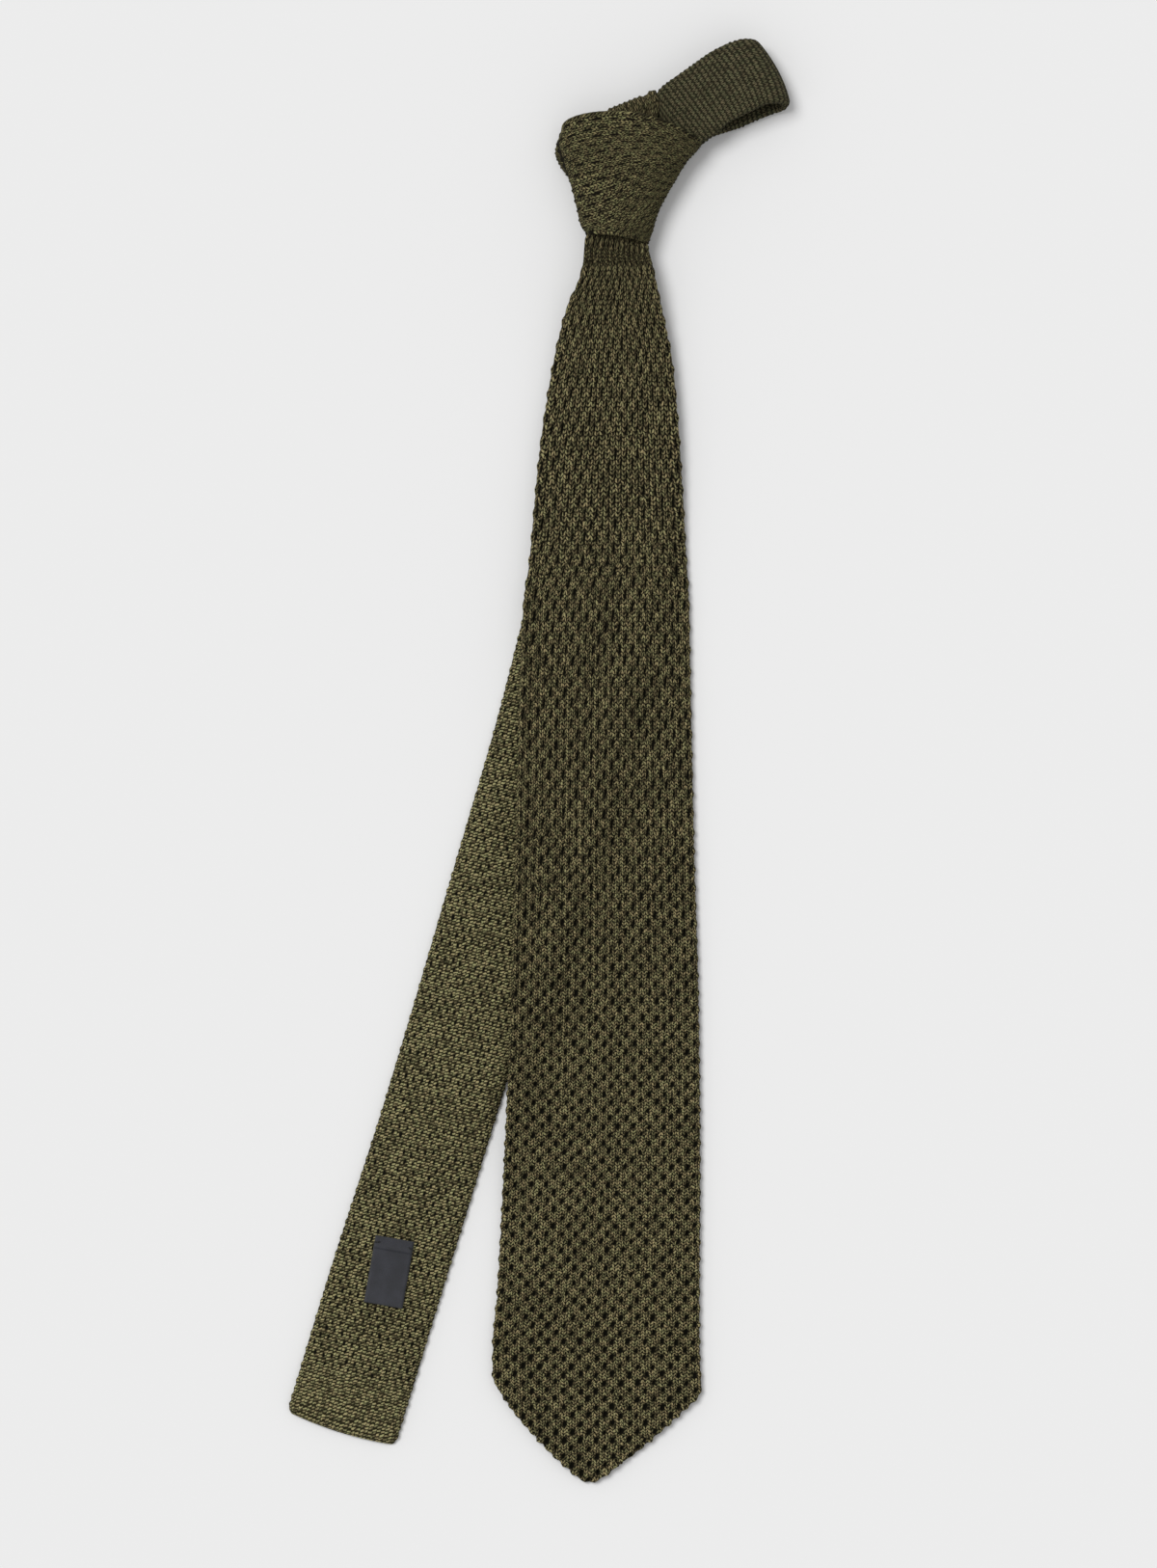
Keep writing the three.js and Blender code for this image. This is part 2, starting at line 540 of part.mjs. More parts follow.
const tie = new THREE.Group();
const narrow = narrowSections();
tie.add(
  clothStrip("wide_blade", wideSections(narrow), cloth(0x423e2c)),
  clothStrip("narrow_blade", narrow, cloth(0x4f4a36)),
  clothStrip("neck_loop", loopSections(), cloth(0x3d3a2c)),
  wrapMesh(cloth(0x3f3c2c)),
  clothStrip("label", labelSections(), cloth(0x3a3b40)),
);

export default tie;
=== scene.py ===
import math

import bpy
import numpy as np
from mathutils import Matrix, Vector


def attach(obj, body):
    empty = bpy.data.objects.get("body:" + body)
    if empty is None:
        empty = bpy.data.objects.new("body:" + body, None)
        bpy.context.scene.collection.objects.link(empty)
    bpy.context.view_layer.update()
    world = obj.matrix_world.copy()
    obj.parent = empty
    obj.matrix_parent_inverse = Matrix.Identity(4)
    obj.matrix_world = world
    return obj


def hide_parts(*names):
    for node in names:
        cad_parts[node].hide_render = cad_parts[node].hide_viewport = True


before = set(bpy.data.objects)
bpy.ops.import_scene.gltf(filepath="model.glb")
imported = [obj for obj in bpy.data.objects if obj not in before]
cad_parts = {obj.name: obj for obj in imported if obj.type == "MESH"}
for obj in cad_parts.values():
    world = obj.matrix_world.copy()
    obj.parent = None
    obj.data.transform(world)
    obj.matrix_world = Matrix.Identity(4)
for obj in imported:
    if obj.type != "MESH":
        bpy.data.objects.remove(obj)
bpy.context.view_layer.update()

# A knit necktie, tied in a four-in-hand knot and laid flat on a pale floor.
# Metres. +Z is up from the floor, +Y runs from the pointed tip to the knot, +X is to the right.

MM = 0.001

# Blades
WIDE_LENGTH = 450 * MM
WIDE_WIDTH = 76 * MM
NARROW_LENGTH = 444 * MM
NARROW_WIDTH = 41 * MM
CORNER_RADIUS = 3 * MM
END_BOW = 1.2 * MM
BLADE_THICK = 3.4 * MM
DRAPE_REACH = 14 * MM
RISE_REACH = 52 * MM
REST_FROM_TIP = 93 * MM
DRAPE_MARGIN = 1.5 * MM
SWELL_REACH = 13 * MM
MOUTH_REACH = 9 * MM

# Neck loop
LOOP_LENGTH = 37.5 * MM
BAND_WIDTH = 27 * MM
BAND_THICK = 3.2 * MM
LOOP_GAP = 7 * MM
LOOP_ANGLE = math.radians(29.3)
FOLD_ANGLE = math.radians(11.6)
MOUTH_RISE = 1.2 * MM
LOOP_BOW = 1.8 * MM

# Knot
KNOT_WIDTH = 52 * MM
KNOT_LENGTH = 46 * MM
WRAP_THICK = 2.4 * MM
SQUEEZED_THICK = 2.8 * MM
KNOT_SLACK = 2 * MM
BACK_FOLD = 2.8 * MM
BACK_FOLD_PLACE = 0.74
BACK_FOLD_REACH = 0.3
# How strongly the crease of the knot's back fold is dented and painted in the holes' dark shade
CREASE_DENT_AND_SHADE = 30
TURNED_LENGTH = 6 * MM
CLEARANCE = 0.3 * MM
BLADE_GAP = 0.5 * MM

# Label
LABEL_WIDTH = 14.2 * MM
LABEL_LENGTH = 24.6 * MM
LABEL_THICK = 0.6 * MM
LABEL_PLACE = 0.868
LABEL_TWIST = math.radians(7.4)
LABEL_CURL = 0.9 * MM

# Places and heights that follow from the sizes
TIP_Y = -REST_FROM_TIP
KNOT_X = 0.092 * WIDE_WIDTH
KNOT_Y = TIP_Y + WIDE_LENGTH
LAYER_STEP = SQUEEZED_THICK + CLEARANCE
FIRST_LEVEL = WRAP_THICK + CLEARANCE + KNOT_SLACK / 2
WIDE_LEVEL = FIRST_LEVEL + LAYER_STEP
TONGUE_LEVEL = FIRST_LEVEL + 2 * LAYER_STEP
KNOT_LOW_HEIGHT = 2 * FIRST_LEVEL + 2 * SQUEEZED_THICK + CLEARANCE
KNOT_TOP_HEIGHT = KNOT_LOW_HEIGHT + LAYER_STEP
MOUTH_X = KNOT_X + 0.441 * KNOT_WIDTH
MOUTH_Y = KNOT_Y + 0.928 * KNOT_LENGTH
MOUTH_BAND = 0.52 * KNOT_WIDTH

# Knit: how many wales run along the front of each piece, and how long its courses are
WIDE_WALES = 39
NARROW_WALES = 29
LOOP_WALES = 22
WRAP_WALES = 25
WIDE_COURSE = 1.2 * MM
DRAWN_COURSE = 1.76 * MM
NARROW_COURSE = 1.2 * MM
LOOP_COURSE = 1.8 * MM
WRAP_COURSE = 1.5 * MM

# The wide blade's outline: at, left, right, body.
# Shares of WIDE_LENGTH from the tip, of WIDE_WIDTH and of BLADE_THICK
WIDE_ROWS = [
    (0.0, -0.071, -0.021, 0.55),
    (0.005, -0.113, 0.03, 0.85),
    (0.023, -0.233, 0.173, 0.96),
    (0.058, -0.417, 0.408, 1),
    (0.07, -0.468, 0.478, 1),
    (0.076, -0.49, 0.486, 1),
    (0.086, -0.508, 0.482, 1),
    (0.105, -0.508, 0.478, 1),
    (0.152, -0.486, 0.477, 1),
    (0.245, -0.456, 0.48, 1),
    (0.37, -0.424, 0.474, 1),
    (0.51, -0.398, 0.451, 1),
    (0.65, -0.375, 0.433, 1),
    (0.712, -0.357, 0.426, 1),
    (0.735, -0.336, 0.417, 1),
    (0.829, -0.283, 0.384, 1.02),
    (0.899, -0.219, 0.348, 1.05),
    (0.945, -0.152, 0.295, 1.12),
    (0.969, -0.09, 0.263, 1.15),
    (0.982, -0.073, 0.248, 1.08),
]
# Points across a wale and rows of points to a course
COLUMNS_PER_WALE = 3
ROWS_PER_COURSE = 1.7
# The courses from the tip over which the holes draw out into slits, and how many courses from the turned
# end they are shut and then open again
SLIT_FROM = 95
SLIT_TO = 225
SHUT_COURSES = 20
OPENING_COURSES = 6
# How open the holes along an edge are, how far in that reaches, and how open they are away from the tip
EDGE_OPENNESS = 0.4
EDGE_REACH = 1.5 * MM
UPPER_OPENNESS = 0.78
# How wide the holes and slits are, as a share of the lattice's period
HOLE_SHARE = 0.26
SLIT_SHARE = 0.17
# Where the point begins: below it the wales run straight down and are cut off by the slanted edges
POINT_FROM = 0.086

# The wide blade inside the knot: leftX, leftY, rightX, rightY, rise.
# Shares of KNOT_WIDTH and KNOT_LENGTH from the lower edge's middle, and of the rise between two levels
TONGUE_ROWS = [
    (-0.23, -0.016, 0.207, -0.09, 0),
    (-0.21, 0.04, 0.19, -0.03, 0),
    (-0.15, 0.09, 0.14, 0.05, 0.04),
    (-0.151, 0.221, 0.172, 0.236, 0.3),
    (-0.158, 0.441, 0.192, 0.487, 0.7),
    (-0.175, 0.685, 0.236, 0.776, 0.95),
    (-0.138, 0.885, 0.286, 1.078, 1),
]

# The narrow blade inside the knot and where it leaves it: leftX, leftY, rightX, rightY
TAIL_ROWS = [
    (-0.14, 0.57, 0.14, 0.57),
    (-0.14, 0.3, 0.14, 0.3),
    (-0.145, 0.014, 0.135, -0.06),
    (-0.205, -0.018, 0.185, -0.09),
]

# The narrow blade's course: at, down, aside, width, body.
# Shares of NARROW_LENGTH along the cloth, down and aside from the knot's lower edge, of NARROW_WIDTH
# and of the thickness
NARROW_ROWS = [
    (0.018, 0.018, 0.0005, 0.53, 1),
    (0.045, 0.045, 0, 0.62, 1),
    (0.118, 0.118, 0.001, 0.785, 1),
    (0.198, 0.197, 0.01, 0.9, 1),
    (0.278, 0.276, 0.0248, 0.97, 1),
    (0.391, 0.386, 0.0508, 0.98, 1),
    (0.539, 0.528, 0.0918, 0.98, 1),
    (0.736, 0.717, 0.1478, 0.982, 1),
    (0.885, 0.859, 0.1925, 1, 1),
    (0.985, 0.958, 0.2227, 1, 1),
    (0.995, 0.9665, 0.2253, 1, 0.85),
    (1.0, 0.971, 0.2267, 1, 0.45),
]

# The neck loop's two layers, from the knot's mouth outwards: leftAlong, leftAside, rightAlong, rightAside,
# lift, free. Shares of LOOP_LENGTH along its way, of BAND_WIDTH aside, of the height at the mouth, and of
# the band's own width and thickness against the knot's
LOWER_ROWS = [
    (-0.19, -0.06, -0.2, 0.4, 1, 0),
    (-0.115, -0.264, -0.09, 0.4, 1, 0),
    (-0.066, -0.359, 0.0, 0.4, 1, 0.1),
    (0.015, -0.417, 0.07, 0.4, 0.9, 0.4),
    (0.148, -0.42, 0.18, 0.377, 0.6, 0.9),
    (0.314, -0.484, 0.317, 0.41, 0.28, 1),
    (0.52, -0.517, 0.473, 0.449, 0.05, 1),
    (0.692, -0.517, 0.656, 0.473, 0, 1),
    (0.843, -0.465, 0.826, 0.506, 0, 1),
]
UPPER_ROWS = [
    (-0.2, -0.1, -0.2, 0.36, 1, 0),
    (-0.14, -0.315, -0.09, 0.37, 1, 0),
    (-0.1, -0.46, 0.0, 0.38, 1, 0.1),
    (-0.01, -0.525, 0.09, 0.375, 0.95, 0.4),
    (0.179, -0.556, 0.257, 0.371, 0.75, 0.9),
    (0.362, -0.583, 0.403, 0.328, 0.5, 1),
    (0.566, -0.61, 0.6, 0.347, 0.25, 1),
    (0.741, -0.6, 0.746, 0.357, 0.08, 1),
    (0.838, -0.575, 0.83, 0.387, 0, 1),
]

# The wrap's two side lines, from its lower rim to its upper rim: at, leftX, leftY, rightX, rightY, dome,
# growth. Shares of KNOT_WIDTH and KNOT_LENGTH, and of the growth from its lower height to its upper one
WRAP_ROWS = [
    (0, -0.225, 0.045, 0.212, -0.024, 0.027, 0),
    (0.1, -0.262, 0.1, 0.239, 0.068, 0.035, 0.12),
    (0.25, -0.289, 0.228, 0.279, 0.213, 0.05, 0.35),
    (0.5, -0.343, 0.464, 0.387, 0.441, 0.09, 0.75),
    (0.75, -0.39, 0.647, 0.488, 0.624, 0.12, 0.95),
    (0.9, -0.417, 0.76, 0.56, 0.71, 0.14, 1),
    (1, -0.398, 0.862, 0.582, 0.75, 0.16, 1),
]


def smooth_rows(rows, at):
    """The table's other columns at each place of its first one, smooth and with no overshoot."""
    table = np.array(rows, float)
    knots = table[:, 0]
    values = table[:, 1:]
    spans = np.diff(knots)[:, None]
    slopes = np.diff(values, axis=0) / spans
    before = slopes[:-1]
    after = slopes[1:]
    same_way = before * after > 0
    total = np.where(same_way, before + after, 1)
    inner = np.where(same_way, 2 * before * after / total, 0)
    tangents = np.vstack([slopes[:1], inner, slopes[-1:]])
    at = np.asarray(at, float)
    i = np.clip(np.searchsorted(knots, at, side="right") - 1, 0, len(knots) - 2)
    t = ((at - knots[i]) / spans[i, 0])[:, None]
    low = values[i]
    high = values[i + 1]
    bulge = t * (1 - t) ** 2 * tangents[i] - t * t * (1 - t) * tangents[i + 1]
    return low + (high - low) * t * t * (3 - 2 * t) + spans[i] * bulge


def numbered(rows):
    """The table with a first column of its own, from 0 to 1."""
    return [(i / (len(rows) - 1), *row) for i, row in enumerate(rows)]


def mix(low, high, share):
    return low + (high - low) * share


def ease(share):
    """0 below 0, 1 above 1 and smooth between."""
    t = np.clip(share, 0, 1)
    return t * t * t * (t * (6 * t - 15) + 10)


def knot_points(across, up, z):
    x = KNOT_X + np.asarray(across) * KNOT_WIDTH
    y = KNOT_Y + np.asarray(up) * KNOT_LENGTH
    return np.stack([x, y, np.broadcast_to(z, x.shape)], axis=-1)


def unit(vectors):
    length = np.linalg.norm(vectors, axis=-1, keepdims=True)
    return vectors / np.maximum(length, 1e-12)


def make_object(name, points, quads, triangles, maps, material, fields=None):
    """A smooth mesh object from arrays. maps is UV map name to (quad corners' places, triangle corners'),
    and fields is attribute name to three numbers a point for the knit material."""
    mesh = bpy.data.meshes.new(name)
    corners = np.concatenate([quads.ravel(), triangles.ravel()])
    starts = np.concatenate([
        np.arange(len(quads)) * 4,
        len(quads) * 4 + np.arange(len(triangles)) * 3,
    ])
    mesh.vertices.add(len(points))
    mesh.vertices.foreach_set("co", points.ravel())
    mesh.loops.add(len(corners))
    mesh.loops.foreach_set("vertex_index", corners.astype(np.int32))
    mesh.polygons.add(len(starts))
    mesh.polygons.foreach_set("loop_start", starts.astype(np.int32))
    mesh.update(calc_edges=True)
    for map_name, (quad_places, triangle_places) in maps.items():
        layer = mesh.uv_layers.new(name=map_name)
        places = np.concatenate([quad_places.reshape(-1, 2), triangle_places.reshape(-1, 2)])
        layer.data.foreach_set("uv", places.astype(np.float32).ravel())
    for field, values in (fields or {}).items():
        layer = mesh.attributes.new(field, "FLOAT_VECTOR", "POINT")
        layer.data.foreach_set("vector", values.astype(np.float32).ravel())
    mesh.validate()
    mesh.polygons.foreach_set("use_smooth", np.ones(len(mesh.polygons), bool))
    mesh.materials.append(material)
    piece = bpy.data.objects.new(name, mesh)
    bpy.context.scene.collection.objects.link(piece)
    return piece


# Knit relief

# What is random from hole to hole: how open it is, and how far it sits aside and along
CHANCES = np.random.default_rng(7).uniform(-1, 1, (3, 64, 256))
LEAST_OPEN = 0.01
DENT_REACH = 1.7


def nearest_hole(wale, course, period):
    """The column and row of the nearest hole in the diamond lattice, counted in half periods."""
    across = wale / period[0]
    along = course / period[1]
    even = np.cos(2 * np.pi * across) + np.cos(2 * np.pi * along) >= 0
    column = 2 * np.where(even, np.round(across), np.floor(across)).astype(int) + ~even
    row = 2 * np.where(even, np.round(along), np.floor(along)).astype(int) + ~even
    return column, row


def hole_numbers(wale, course, period, look, openness):
    """How open each point's nearest hole is, and how far that hole has moved. The hole leans as it goes."""
    column, row = nearest_hole(wale, course, period)
    chances = CHANCES[:, column % CHANCES.shape[1], row % CHANCES.shape[2]]
    opened = (1 + look["uneven"] * chances[0]) * openness
    beyond = course - row * period[1] / 2
    aside = look["jitter"] * period[0] * chances[1] + look["slope"] * beyond
    along = look["jitter"] * period[1] * chances[2]
    return opened, aside, along


def knit_fields(wale, course, pitch, look, across, along, openness):
    """The attributes that the knit material reads: holes has the reach across, the reach along and the
    openness, and drift the holes' shift across and along and the width of a wale in millimetres."""
    shape = wale.shape
    opened, aside, ahead = hole_numbers(wale, course, look["period"], look, openness)
    reach_across, reach_along, width = (np.broadcast_to(v, shape) for v in (across, along, pitch / MM))
    return {
        "holes": np.stack([reach_across, reach_along, opened], axis=-1),
        "drift": np.stack([aside, ahead, width], axis=-1),
    }


def hole_field(wale, course, period, fields):
    """1 in the middle of a hole, falling to 0 beside it."""
    holes, drift = fields["holes"], fields["drift"]
    over_wales = np.cos(2 * np.pi * (wale - drift[..., 0]) / period[0])
    over_courses = np.cos(2 * np.pi * (course - drift[..., 1]) / period[1])
    even = np.hypot((1 - over_wales) / holes[..., 0], (1 - over_courses) / holes[..., 1])
    odd = np.hypot((1 + over_wales) / holes[..., 0], (1 + over_courses) / holes[..., 1])
    near = np.minimum(even, odd) / np.maximum(holes[..., 2], LEAST_OPEN)
    return ease(1 - near / DENT_REACH)


def bulge_field(wale, course, period):
    """1 in the middle of the cloth between four holes, falling to 0 around it."""
    over_wales = np.cos(2 * np.pi * wale / period[0])
    over_courses = np.cos(2 * np.pi * course / period[1])
    beside = 1 + (over_wales - over_courses) / 2
    above = 1 - (over_wales - over_courses) / 2
    return ease(1 - np.minimum(beside, above))


def upper_contour(width, thick, share):
    """Along the upper half of a flattened section: place from its left edge, height, unrolled place."""
    width = width[:, None]
    half = thick[:, None] / 2
    radius = np.minimum(half, width / 3)
    quarter = radius * math.pi / 2
    length = width - 2 * radius + 2 * quarter
    along = share[None, :] * length
    from_edge = np.minimum(along, length - along)
    turn = np.minimum(from_edge / radius, math.pi / 2)
    inward = radius * (1 - np.cos(turn)) + np.maximum(from_edge - quarter, 0)
    place = np.where(along < length / 2, inward, width - inward)
    return place, half * np.sin(turn), along - length / 2


def strip_frames(left, right):
    """Each section's upper side, square to its width and to the way the strip runs."""
    way = np.gradient((left + right) / 2, axis=0)
    return unit(np.cross(right - left, way))


def strip_points(left, right, thick, upper, under, lift=None, bow=None):
    """The points round each section: over its upper face from left to right and back under it. bow is how far
    each section's middle is pushed out from the straight line between its edges."""
    width = np.linalg.norm(right - left, axis=1)
    up = strip_frames(left, right)
    upper_share = np.linspace(0, 1, upper + 1)
    under_share = np.linspace(1, 0, under + 1)[1:-1]
    place, height, unrolled = upper_contour(width, thick, upper_share)
    place_under, height_under, unrolled_under = upper_contour(width, thick, under_share)
    place = np.concatenate([place, place_under], axis=1)
    height = np.concatenate([height, -height_under], axis=1)
    share = (place / width[:, None])[..., None]
    base = left[:, None, :] * (1 - share) + right[:, None, :] * share
    if bow is not None:
        base = base + (4 * share * (1 - share)) * bow[:, None, :]
    if lift is not None:
        base[..., 2] += lift(base[..., 0], base[..., 1])
    return base + up[:, None, :] * height[..., None], unrolled, unrolled_under


def grid_normals(points):
    """Outward normals of a tube of points, rows along it and columns round it."""
    around = np.roll(points, -1, axis=1) - np.roll(points, 1, axis=1)
    along = np.gradient(points, axis=0)
    return unit(np.cross(around, along))


def grid_corners(grid):
    """What is at the four corners of each cell of a grid."""
    return np.stack([grid[:-1, :-1], grid[:-1, 1:], grid[1:, 1:], grid[1:, :-1]], axis=2)


def flat_corners(rows, columns, last):
    """The corners of a grid spread evenly over the bake map, up to its last column's place."""
    places = np.meshgrid(np.linspace(0.005, last, columns), np.linspace(0.005, 0.995, rows))
    return grid_corners(np.stack(places, axis=-1))


def tube_object(name, points, wale, course, material, fields=None):
    """A closed tube with a fan at each end. wale has one column more than points, for the seam."""
    rows, columns = points.shape[:2]
    index = np.arange(rows * columns).reshape(rows, columns)
    ahead = np.roll(index, -1, axis=1)
    quads = np.stack([index[:-1], ahead[:-1], ahead[1:], index[1:]], axis=-1).reshape(-1, 4)
    ends = [points[0].mean(axis=0), points[-1].mean(axis=0)]
    first, last = rows * columns, rows * columns + 1
    start_fan = np.stack([ahead[0], index[0], np.full(columns, first)], axis=-1)
    end_fan = np.stack([index[-1], ahead[-1], np.full(columns, last)], axis=-1)
    knit = np.stack([wale, course], axis=-1)

    def fan_places(row, order, spot):
        start, after = (knit[row, 1:], knit[row, :-1]) if order else (knit[row, :-1], knit[row, 1:])
        centre = np.broadcast_to(knit[row].mean(axis=0), start.shape)
        turn = np.linspace(0, 2 * math.pi, columns + 1)
        circle = np.stack([np.cos(turn), np.sin(turn)], axis=-1) * 0.008 + spot
        flat_start, flat_after = (circle[1:], circle[:-1]) if order else (circle[:-1], circle[1:])
        flat_centre = np.broadcast_to(np.array(spot), flat_start.shape)
        flat_places = np.stack([flat_start, flat_after, flat_centre], axis=1)
        return np.stack([start, after, centre], axis=1), flat_places

    knit_first, flat_first = fan_places(0, True, (0.987, 0.3))
    knit_last, flat_last = fan_places(-1, False, (0.987, 0.7))
    maps = {
        "knit": (grid_corners(knit), np.concatenate([knit_first, knit_last])),
        "OFBake": (flat_corners(rows, columns + 1, 0.975), np.concatenate([flat_first, flat_last])),
    }
    all_points = np.concatenate([points.reshape(-1, 3), np.array(ends)])
    fields = {
        field: np.concatenate([values.reshape(-1, 3), values[:1].mean(axis=1), values[-1:].mean(axis=1)])
        for field, values in (fields or {}).items()
    }
    fans = np.concatenate([start_fan, end_fan])
    return make_object(name, all_points, quads, fans, maps, material, fields)


def knit_strip(name, left, right, thick, pitch, course, knit, material, lift=None, shift=0.0, bow=None):
    """A strip of knit. pitch is each row's wale width, course its place in courses, and shift moves its wales
    sideways. knit has the wales across the front, the columns of points under it, the function for its
    fields, its look, the edge's scallop, the relief's depths, and how the cloth is held and on what it rests;
    these last two are not used."""
    wales = knit["wales"]
    period = knit["look"]["period"]
    upper = COLUMNS_PER_WALE * wales
    points, unrolled, unrolled_under = strip_points(left, right, thick, upper, knit["under"], lift, bow)
    middle = wales / 2
    shift = np.broadcast_to(shift, pitch.shape)[:, None]
    wale_upper = middle + (unrolled + shift) / pitch[:, None]
    wale_under = middle + wales - (unrolled_under - shift) / pitch[:, None]
    wale = np.concatenate([wale_upper, wale_under], axis=1)
    edge = abs(unrolled[:, :1]) - abs(np.concatenate([unrolled, unrolled_under], axis=1))
    courses = np.broadcast_to(course[:, None], wale.shape)
    fields = knit["fields"](wale, courses, edge, pitch[:, None])
    front = slice(0, upper + 1)
    depth = knit["scallop"] * edge_bumps(wale, courses, edge, period)
    seen = {field: values[:, front] for field, values in fields.items()}
    places = wale[:, front], courses[:, front], edge[:, front]
    depth[:, front] += cloth_relief(*places, seen, period, *knit["relief"])
    points = points + grid_normals(points) * depth[..., None]
    points[..., 2] = np.maximum(points[..., 2], 0)
    seam = wale[:, :1] + 2 * wales
    wale = np.concatenate([wale, seam], axis=1)
    courses = np.broadcast_to(course[:, None], wale.shape)
    piece = tube_object(name, points, wale, courses, material, fields)
    return piece


# Materials


def linear(red, green, blue):
    return tuple((value / 255 / 12.92) if value < 11 else ((value / 255 + 0.055) / 1.055) ** 2.4
                 for value in (red, green, blue)) + (1,)


class NodeTree:
    """Short calls to add nodes to a material."""

    def __init__(self, name):
        self.material = bpy.data.materials.new(name)
        self.material.use_nodes = True
        self.tree = self.material.node_tree
        self.tree.nodes.clear()

    def add(self, kind, **settings):
        node = self.tree.nodes.new(kind)
        for key, value in settings.items():
            setattr(node, key, value)
        return node

    def put(self, value, socket):
        if isinstance(value, bpy.types.NodeSocket):
            self.tree.links.new(value, socket)
        else:
            socket.default_value = value

    def math(self, operation, *values, clamp=False):
        node = self.add("ShaderNodeMath", operation=operation, use_clamp=clamp)
        for value, socket in zip(values, node.inputs):
            self.put(value, socket)
        return node.outputs[0]

    def product(self, first, *others):
        for value in others:
            first = self.math("MULTIPLY", first, value)
        return first

    def wave(self, value, period):
        return self.math("COSINE", self.math("MULTIPLY", value, 2 * math.pi / period))

    def mix_color(self, factor, low, high, blend="MIX"):
        node = self.add("ShaderNodeMix", data_type="RGBA", blend_type=blend)
        self.put(factor, node.inputs["Factor"])
        self.put(low, node.inputs["A"])
        self.put(high, node.inputs["B"])
        return node.outputs["Result"]

    def range(self, value, low, high, to_low=0.0, to_high=1.0, kind="SMOOTHSTEP"):
        node = self.add("ShaderNodeMapRange", interpolation_type=kind)
        for item, socket in zip((value, low, high, to_low, to_high), node.inputs):
            self.put(item, socket)
        return node.outputs[0]

    def noise(self, vector, scale, detail=2.0):
        node = self.add("ShaderNodeTexNoise", noise_dimensions="2D")
        self.put(vector, node.inputs["Vector"])
        node.inputs["Scale"].default_value = scale
        node.inputs["Detail"].default_value = detail
        return node

    def vector(self, x, y, z):
        node = self.add("ShaderNodeCombineXYZ")
        for value, socket in zip((x, y, z), node.inputs):
            self.put(value, socket)
        return node.outputs[0]

    def parts(self, kind, value):
        """The outputs of a node that takes a vector or a colour apart."""
        node = self.add(kind)
        self.put(value, node.inputs[0])
        return node.outputs

    def bump(self, height, strength, distance):
        node = self.add("ShaderNodeBump")
        node.inputs["Strength"].default_value = strength
        node.inputs["Distance"].default_value = distance
        self.put(height, node.inputs["Height"])
        return node.outputs[0]

    def finish(self, color, settings, normal=None):
        """The material, once its shader has the colour, the settings and the normal."""
        shader = self.add("ShaderNodeBsdfPrincipled")
        self.put(color, shader.inputs["Base Color"])
        if normal is not None:
            self.put(normal, shader.inputs["Normal"])
        for key, value in settings.items():
            shader.inputs[key].default_value = value
        output = self.add("ShaderNodeOutputMaterial")
        self.put(shader.outputs[0], output.inputs[0])
        return self.material


def stray_places(t, knit, look):
    """How far the loops stray aside, and the wale and course that shows it in full and by half."""
    wander = t.parts("ShaderNodeSeparateColor", t.noise(knit, 0.7, 3.0).outputs["Color"])
    curl = t.parts("ShaderNodeSeparateColor", t.noise(knit, 1.7, 2.0).outputs["Color"])
    straight = t.parts("ShaderNodeSeparateXYZ", knit)
    stray, loops, lattice = [], [], []
    for axis in range(2):
        astray = t.math("SUBTRACT", wander[axis], 0.5)
        place = t.math("MULTIPLY_ADD", astray, look["wander"], straight[axis])
        curled = t.math("SUBTRACT", curl[axis], 0.5)
        stray.append(astray)
        loops.append(t.math("MULTIPLY_ADD", curled, look["curl"], place))
        lattice.append(t.math("MULTIPLY_ADD", astray, look["wander"] * 0.5, straight[axis]))
    return stray[0], loops, lattice


def yarn_legs(t, wale, course, look):
    """How high the yarn stands and how light it is: a random shade for each leg, times painted light that
    makes one leg of each loop lighter and the other darker. The two legs of a loop part upwards, and on the
    purl side the yarn runs across in short slanted dashes."""
    column = t.math("FLOOR", wale)
    column_chance = t.add("ShaderNodeTexWhiteNoise", noise_dimensions="1D")
    t.put(column, column_chance.inputs["W"])
    course = t.math("MULTIPLY_ADD", column_chance.outputs["Value"], look["stagger"], course)
    side = t.math("SUBTRACT", t.math("FRACT", wale), 0.5)
    out = t.math("ABSOLUTE", side)
    slanted = t.math("MULTIPLY_ADD", side if look["dash"] else out, -look["slant"], course)
    phase = t.math("FRACT", slanted)
    right_leg = 0.0 if look["dash"] else t.math("GREATER_THAN", side, 0.0)
    shade = t.add("ShaderNodeTexWhiteNoise", noise_dimensions="3D")
    t.put(t.vector(column, t.math("FLOOR", slanted), right_leg), shade.inputs["Vector"])
    light = t.math("MULTIPLY_ADD", shade.outputs[0], look["shade"], 1.0 - look["shade"] / 2)
    cell_chance = t.parts("ShaderNodeSeparateColor", shade.outputs["Color"])[0]
    off = t.math("MULTIPLY_ADD", cell_chance, look["loose"], -look["loose"] / 2)
    if look["dash"]:
        from_middle = t.math("SUBTRACT", phase, t.math("ADD", off, 0.5))
        along = t.math("MULTIPLY", out, 2.0)
    else:
        middle = t.math("MULTIPLY_ADD", phase, 2 * look["spread"], 0.25 - look["spread"])
        from_middle = t.math("SUBTRACT", out, t.math("ADD", off, middle))
        along = t.math("ABSOLUTE", t.math("MULTIPLY_ADD", phase, 2.0, -1.0))
        # Painted light: one leg of each loop is lighter and the other darker, as if lit from one side.
        painted_leg_light = t.math("MULTIPLY_ADD", right_leg, -look["painted_leg_light"], 1.0 + look["painted_leg_light"] / 2)
        light = t.math("MULTIPLY", light, painted_leg_light)
    lane = t.math("DIVIDE", from_middle, look["strand"])
    lane = t.math("SUBTRACT", 1.0, t.math("MULTIPLY", lane, lane), clamp=True)
    leg = t.math("SUBTRACT", 1.0, t.math("POWER", along, look["gap"]), clamp=True)
    return t.math("SQRT", t.math("MULTIPLY", lane, leg)), light


